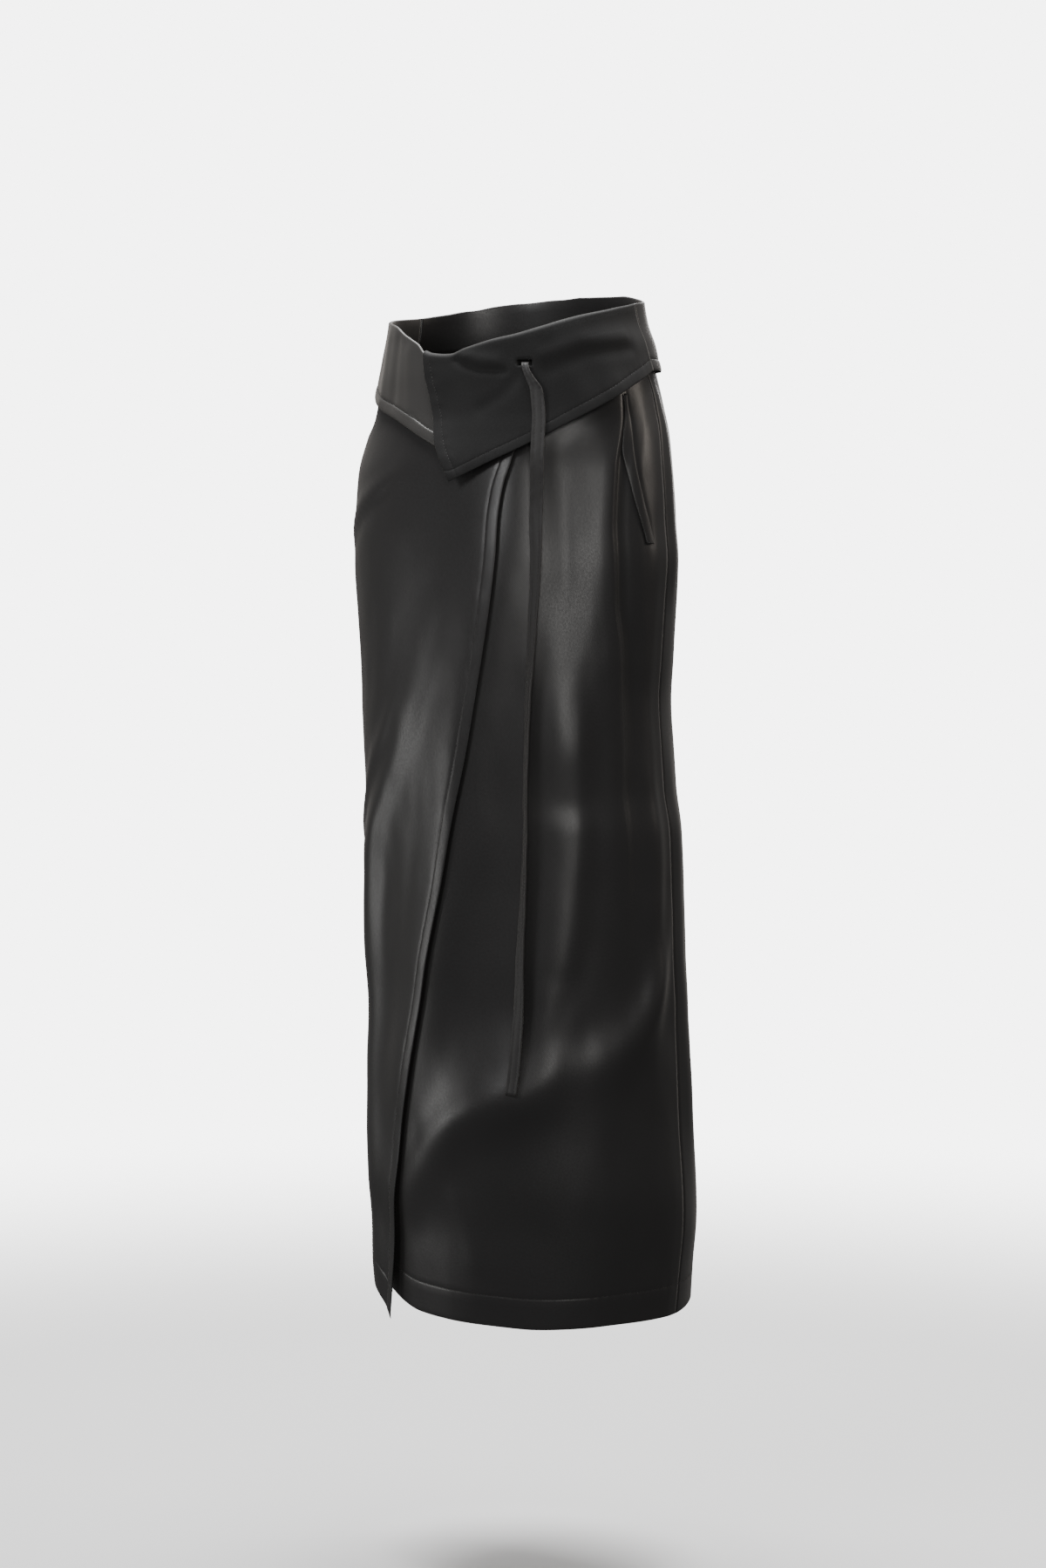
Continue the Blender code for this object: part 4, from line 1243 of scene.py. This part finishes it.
class SKIRT_OT_fronts(bpy.types.Operator):
    """Both fronts: the top one with its slanting stitched edge, the under one with its deep tuck"""

    bl_idname = "skirt.fronts"
    bl_label = "Fronts"

    def execute(self, context):
        wall = sizes().cloth_wall
        rows = PANEL_ROWS + len(HEM_ROWS) - 1
        columns = FRONT_COLUMNS + len(EDGE_COLUMNS) + 1
        top = make_cloth("top_front_cloth", "right_front", "satin_face", columns, rows,
                         place_top_front, wall)
        edge = along(TOP_EDGE, -0.85)
        hem = hem_run(-SIDE_TURN, edge - TOP_HEM_SHORT, "top",
                      lambda turn: top_front_lift(turn) + TOP_HEM_RISE,
                      lambda turn: top_front_drop((turn + SIDE_TURN) / (edge + SIDE_TURN)))
        sewing = sew("top_front_stitches", [edge_run(), hem])
        columns = len(under_front_turns(FIRST_HEIGHT)) - 1 + SEAM_STEPS
        under = make_cloth("under_front_cloth", "left_front", "satin_face", columns, rows,
                           place_under_front, wall)
        sewing = sew("under_front_stitches", [hem_run(UNDER_HEM_START, SIDE_TURN, "under")])
        return {"FINISHED"}


class SKIRT_OT_back(bpy.types.Operator):
    """Back, one plain piece with soft hanging folds"""

    bl_idname = "skirt.back"
    bl_label = "Back"

    def execute(self, context):
        rows = PANEL_ROWS + len(HEM_ROWS) - 1
        columns = BACK_COLUMNS + 2 * SEAM_STEPS
        back = make_cloth("back_cloth", "back", "satin_face", columns, rows,
                          place_back, sizes().cloth_wall)
        hem = hem_run(SIDE_TURN, 360.0 - SIDE_TURN, "under")
        sewing = sew("back_stitches", [hem])
        return {"FINISHED"}


def cuff_run(start, end, inner, stand, radius, sunk=flat):
    """Stitches in the groove above a cuff's border."""
    places = []
    for turn in even_steps(start, end, CUFF_STEPS):
        centre = along(LINES, wrapped(turn), 1) - radius - sunk(turn)
        lower = along(LINES, wrapped(turn), 3)
        height = lower + sizes().edge_margin + GROOVE_SHIFT
        base = inner(turn)
        out = cuff_out(turn, height, base, radius, base + stand, centre, lower, CUFF_CREASES)
        places.append((turn, height, out))
    return stitch_run(places)


def flap_lower_run():
    """Stitches above the lower edge of the flap."""
    margin = sizes().edge_margin * FLAP_MARGIN
    places = []
    for turn in even_steps(*FLAP_LOWER_SEWING):
        height = along(FLAP_LOWER, turn) + margin
        places.append((turn, height, flap_out(turn, height)))
    return stitch_run(places)


def flap_end_run():
    """Stitches beside the free end of the flap."""
    margin = sizes().edge_margin * FLAP_MARGIN
    places = []
    for height in even_steps(*FLAP_END_SEWING):
        turn = along(FLAP_END, height) + margin / METRES_PER_DEGREE
        places.append((turn, height, flap_out(turn, height)))
    return stitch_run(places)


class SKIRT_OT_waistband(bpy.types.Operator):
    """Fold-over waistband: two plain cuffs with rolled borders and the broad pointed flap"""

    bl_idname = "skirt.waistband"
    bl_label = "Waistband"

    def execute(self, context):
        wall = sizes().cloth_wall
        rows = LEG_ROWS + ROLL_ROWS + FALL_ROWS + len(EDGE_COLUMNS) - 1
        # The right cuff's finish has a lighter colour as a painted sheen.
        right = make_cloth("right_cuff_cloth", "right_band", "satin_cuff", BAND_COLUMNS, rows,
                           place_right_band, wall)
        run = cuff_run(-SIDE_TURN, 0.0, top_front_lift, STAND_RIGHT, ROLL_RIGHT, flap_cover)
        sewing = sew("right_cuff_stitches", [run])
        back = make_cloth("back_cuff_cloth", "back_band", "satin_face", BAND_COLUMNS, rows,
                          place_back_band, wall)
        run = cuff_run(SIDE_TURN, 360.0 - SIDE_TURN, flat, STAND_BACK, ROLL_BACK)
        sewing = sew("back_cuff_stitches", [run])
        first = len(EDGE_COLUMNS) - 1 + FLAP_BEFORE
        columns = first + FLAP_HOLE + FLAP_AFTER
        down = LEG_ROWS + ROLL_ROWS + HOLE_ABOVE
        rows = down + HOLE_DOWN + FLAP_FALL + len(EDGE_COLUMNS) - 1
        left = make_cloth("flap_cloth", "left_band", "satin_reverse", columns, rows,
                          place_left_band, wall, (first, first + FLAP_HOLE, down, down + HOLE_DOWN))
        sewing = sew("flap_stitches", [flap_lower_run(), flap_end_run()])
        return {"FINISHED"}


class SKIRT_OT_pocket(bpy.types.Operator):
    """Welt of the slanting pocket with its stitched side and end bar"""

    bl_idname = "skirt.pocket"
    bl_label = "Pocket"

    def execute(self, context):
        welt = make_cloth("welt_cloth", "pocket_welt", "satin_face", WELT_COLUMNS, WELT_ROWS,
                          place_welt, WELT_WALL)
        lowest, stitched, opening = POCKET[0]
        side = [
            (along(POCKET, height, 1) + WELT_SEWING_TURN, height, WELT_SEWING_RISE)
            for height in even_steps(POCKET[-3][0], lowest + 0.001, 60)
        ]
        bar = [
            (turn, lowest + WELT_BAR_UP, WELT_BAR_RISE)
            for turn in even_steps(stitched, opening, 8)
        ]
        sewing = sew("welt_stitches", [stitch_run(side, "under"), stitch_run(bar, "under")])
        return {"FINISHED"}


def around(turn, away, height):
    """A place round the skirt, from its front towards the wearer's left."""
    angle = math.radians(turn)
    return (away * math.sin(angle), -away * math.cos(angle), height)


def soft_light(name, turn, away, height, width, tall, power, colour, target_height, target_away):
    """One studio softbox, turned to its target."""
    data = bpy.data.lights.new(name, "AREA")
    data.shape = "RECTANGLE"
    data.size = width
    data.size_y = tall
    data.energy = power
    data.color = colour
    light = bpy.data.objects.new(name, data)
    bpy.context.scene.collection.objects.link(light)
    light.location = around(turn, away, height)
    towards = Vector(around(turn, target_away, target_height)) - light.location
    light.rotation_euler = towards.to_track_quat("-Z", "Y").to_euler()


def floor_material():
    """Pale studio floor that fades out into the backdrop."""
    material, shader, nodes, links = new_material("studio_floor", 0.9, 0.1, 0.0)
    shader.inputs["Base Color"].default_value = list(colours().floor) + [1.0]
    place = nodes.new("ShaderNodeTexCoord")
    reach = nodes.new("ShaderNodeVectorMath")
    reach.operation = "LENGTH"
    links.new(place.outputs["Object"], reach.inputs[0])
    fade = add_range(nodes, links, reach.outputs["Value"], FLOOR_FADE, (1.0, 0.0), shader.inputs["Alpha"])
    fade.interpolation_type = "SMOOTHSTEP"
    return material


class SKIRT_OT_stage(bpy.types.Operator):
    """Camera, pale floor and soft studio light"""

    bl_idname = "skirt.stage"
    bl_label = "Stage"

    def execute(self, context):
        lens = bpy.data.cameras.new("camera")
        lens.lens = CAMERA_LENS
        lens.sensor_width = CAMERA_SENSOR
        lens.shift_x = CAMERA_SHIFT
        camera = bpy.data.objects.new("camera", lens)
        context.scene.collection.objects.link(camera)
        camera.location = around(CAMERA_TURN, CAMERA_AWAY, CAMERA_HEIGHT)
        camera.rotation_euler = (math.radians(90.0 - CAMERA_TILT), 0.0, math.radians(CAMERA_TURN))
        context.scene.camera = camera
        shape = bmesh.new()
        bmesh.ops.create_circle(shape, cap_ends=True, segments=64, radius=FLOOR_RADIUS,
                                matrix=Matrix.Translation((0.0, 0.0, FLOOR_HEIGHT)))
        floor = add_object("floor", shape, floor_material())
        floor.visible_diffuse = False
        floor.visible_glossy = False
        for name, light in LIGHTS.items():
            soft_light(name, *light)
        world = bpy.data.worlds.new("studio")
        context.scene.world = world
        world.use_nodes = True
        nodes = world.node_tree.nodes
        links = world.node_tree.links
        ground = nodes["Background"]
        ground.inputs["Color"].default_value = (1.0, 1.0, 1.0, 1.0)
        ground.inputs["Strength"].default_value = SURROUNDINGS
        seen = nodes.new("ShaderNodeBackground")
        seen.inputs["Color"].default_value = (0.97, 0.97, 0.97, 1.0)
        seen.inputs["Strength"].default_value = BACKDROP
        path = nodes.new("ShaderNodeLightPath")
        pick = nodes.new("ShaderNodeMixShader")
        links.new(path.outputs["Is Camera Ray"], pick.inputs["Fac"])
        links.new(ground.outputs["Background"], pick.inputs[1])
        links.new(seen.outputs["Background"], pick.inputs[2])
        links.new(pick.outputs["Shader"], nodes["World Output"].inputs["Surface"])
        return {"FINISHED"}


class SKIRT_PT_panel(bpy.types.Panel):
    """Sizes, colours and pieces of the skirt"""

    bl_label = "Wrap Skirt"
    bl_idname = "SKIRT_PT_panel"
    bl_space_type = "VIEW_3D"
    bl_region_type = "UI"
    bl_category = "Skirt"

    def draw(self, context):
        for group in (context.scene.skirt_sizes, context.scene.skirt_colours):
            for name in group.__annotations__:
                self.layout.prop(group, name)
        for operator in OPERATORS:
            self.layout.operator(operator.bl_idname)


OPERATORS = (
    SKIRT_OT_stage, SKIRT_OT_tie, SKIRT_OT_fronts, SKIRT_OT_back, SKIRT_OT_waistband, SKIRT_OT_pocket)
CLASSES = (SkirtSizes, SkirtColours) + OPERATORS + (SKIRT_PT_panel,)


def register():
    """Make the groups, operators and panel known to Blender."""
    for item in CLASSES:
        bpy.utils.register_class(item)
    bpy.types.Scene.skirt_sizes = PointerProperty(type=SkirtSizes)
    bpy.types.Scene.skirt_colours = PointerProperty(type=SkirtColours)


def unregister():
    """Take them away again."""
    del bpy.types.Scene.skirt_colours
    del bpy.types.Scene.skirt_sizes
    for item in reversed(CLASSES):
        bpy.utils.unregister_class(item)


def main():
    """Build the stage and every piece."""
    register()
    bpy.ops.skirt.stage()
    bpy.ops.skirt.tie()
    bpy.ops.skirt.fronts()
    bpy.ops.skirt.back()
    bpy.ops.skirt.waistband()
    bpy.ops.skirt.pocket()


if __name__ == "__main__":
    main()
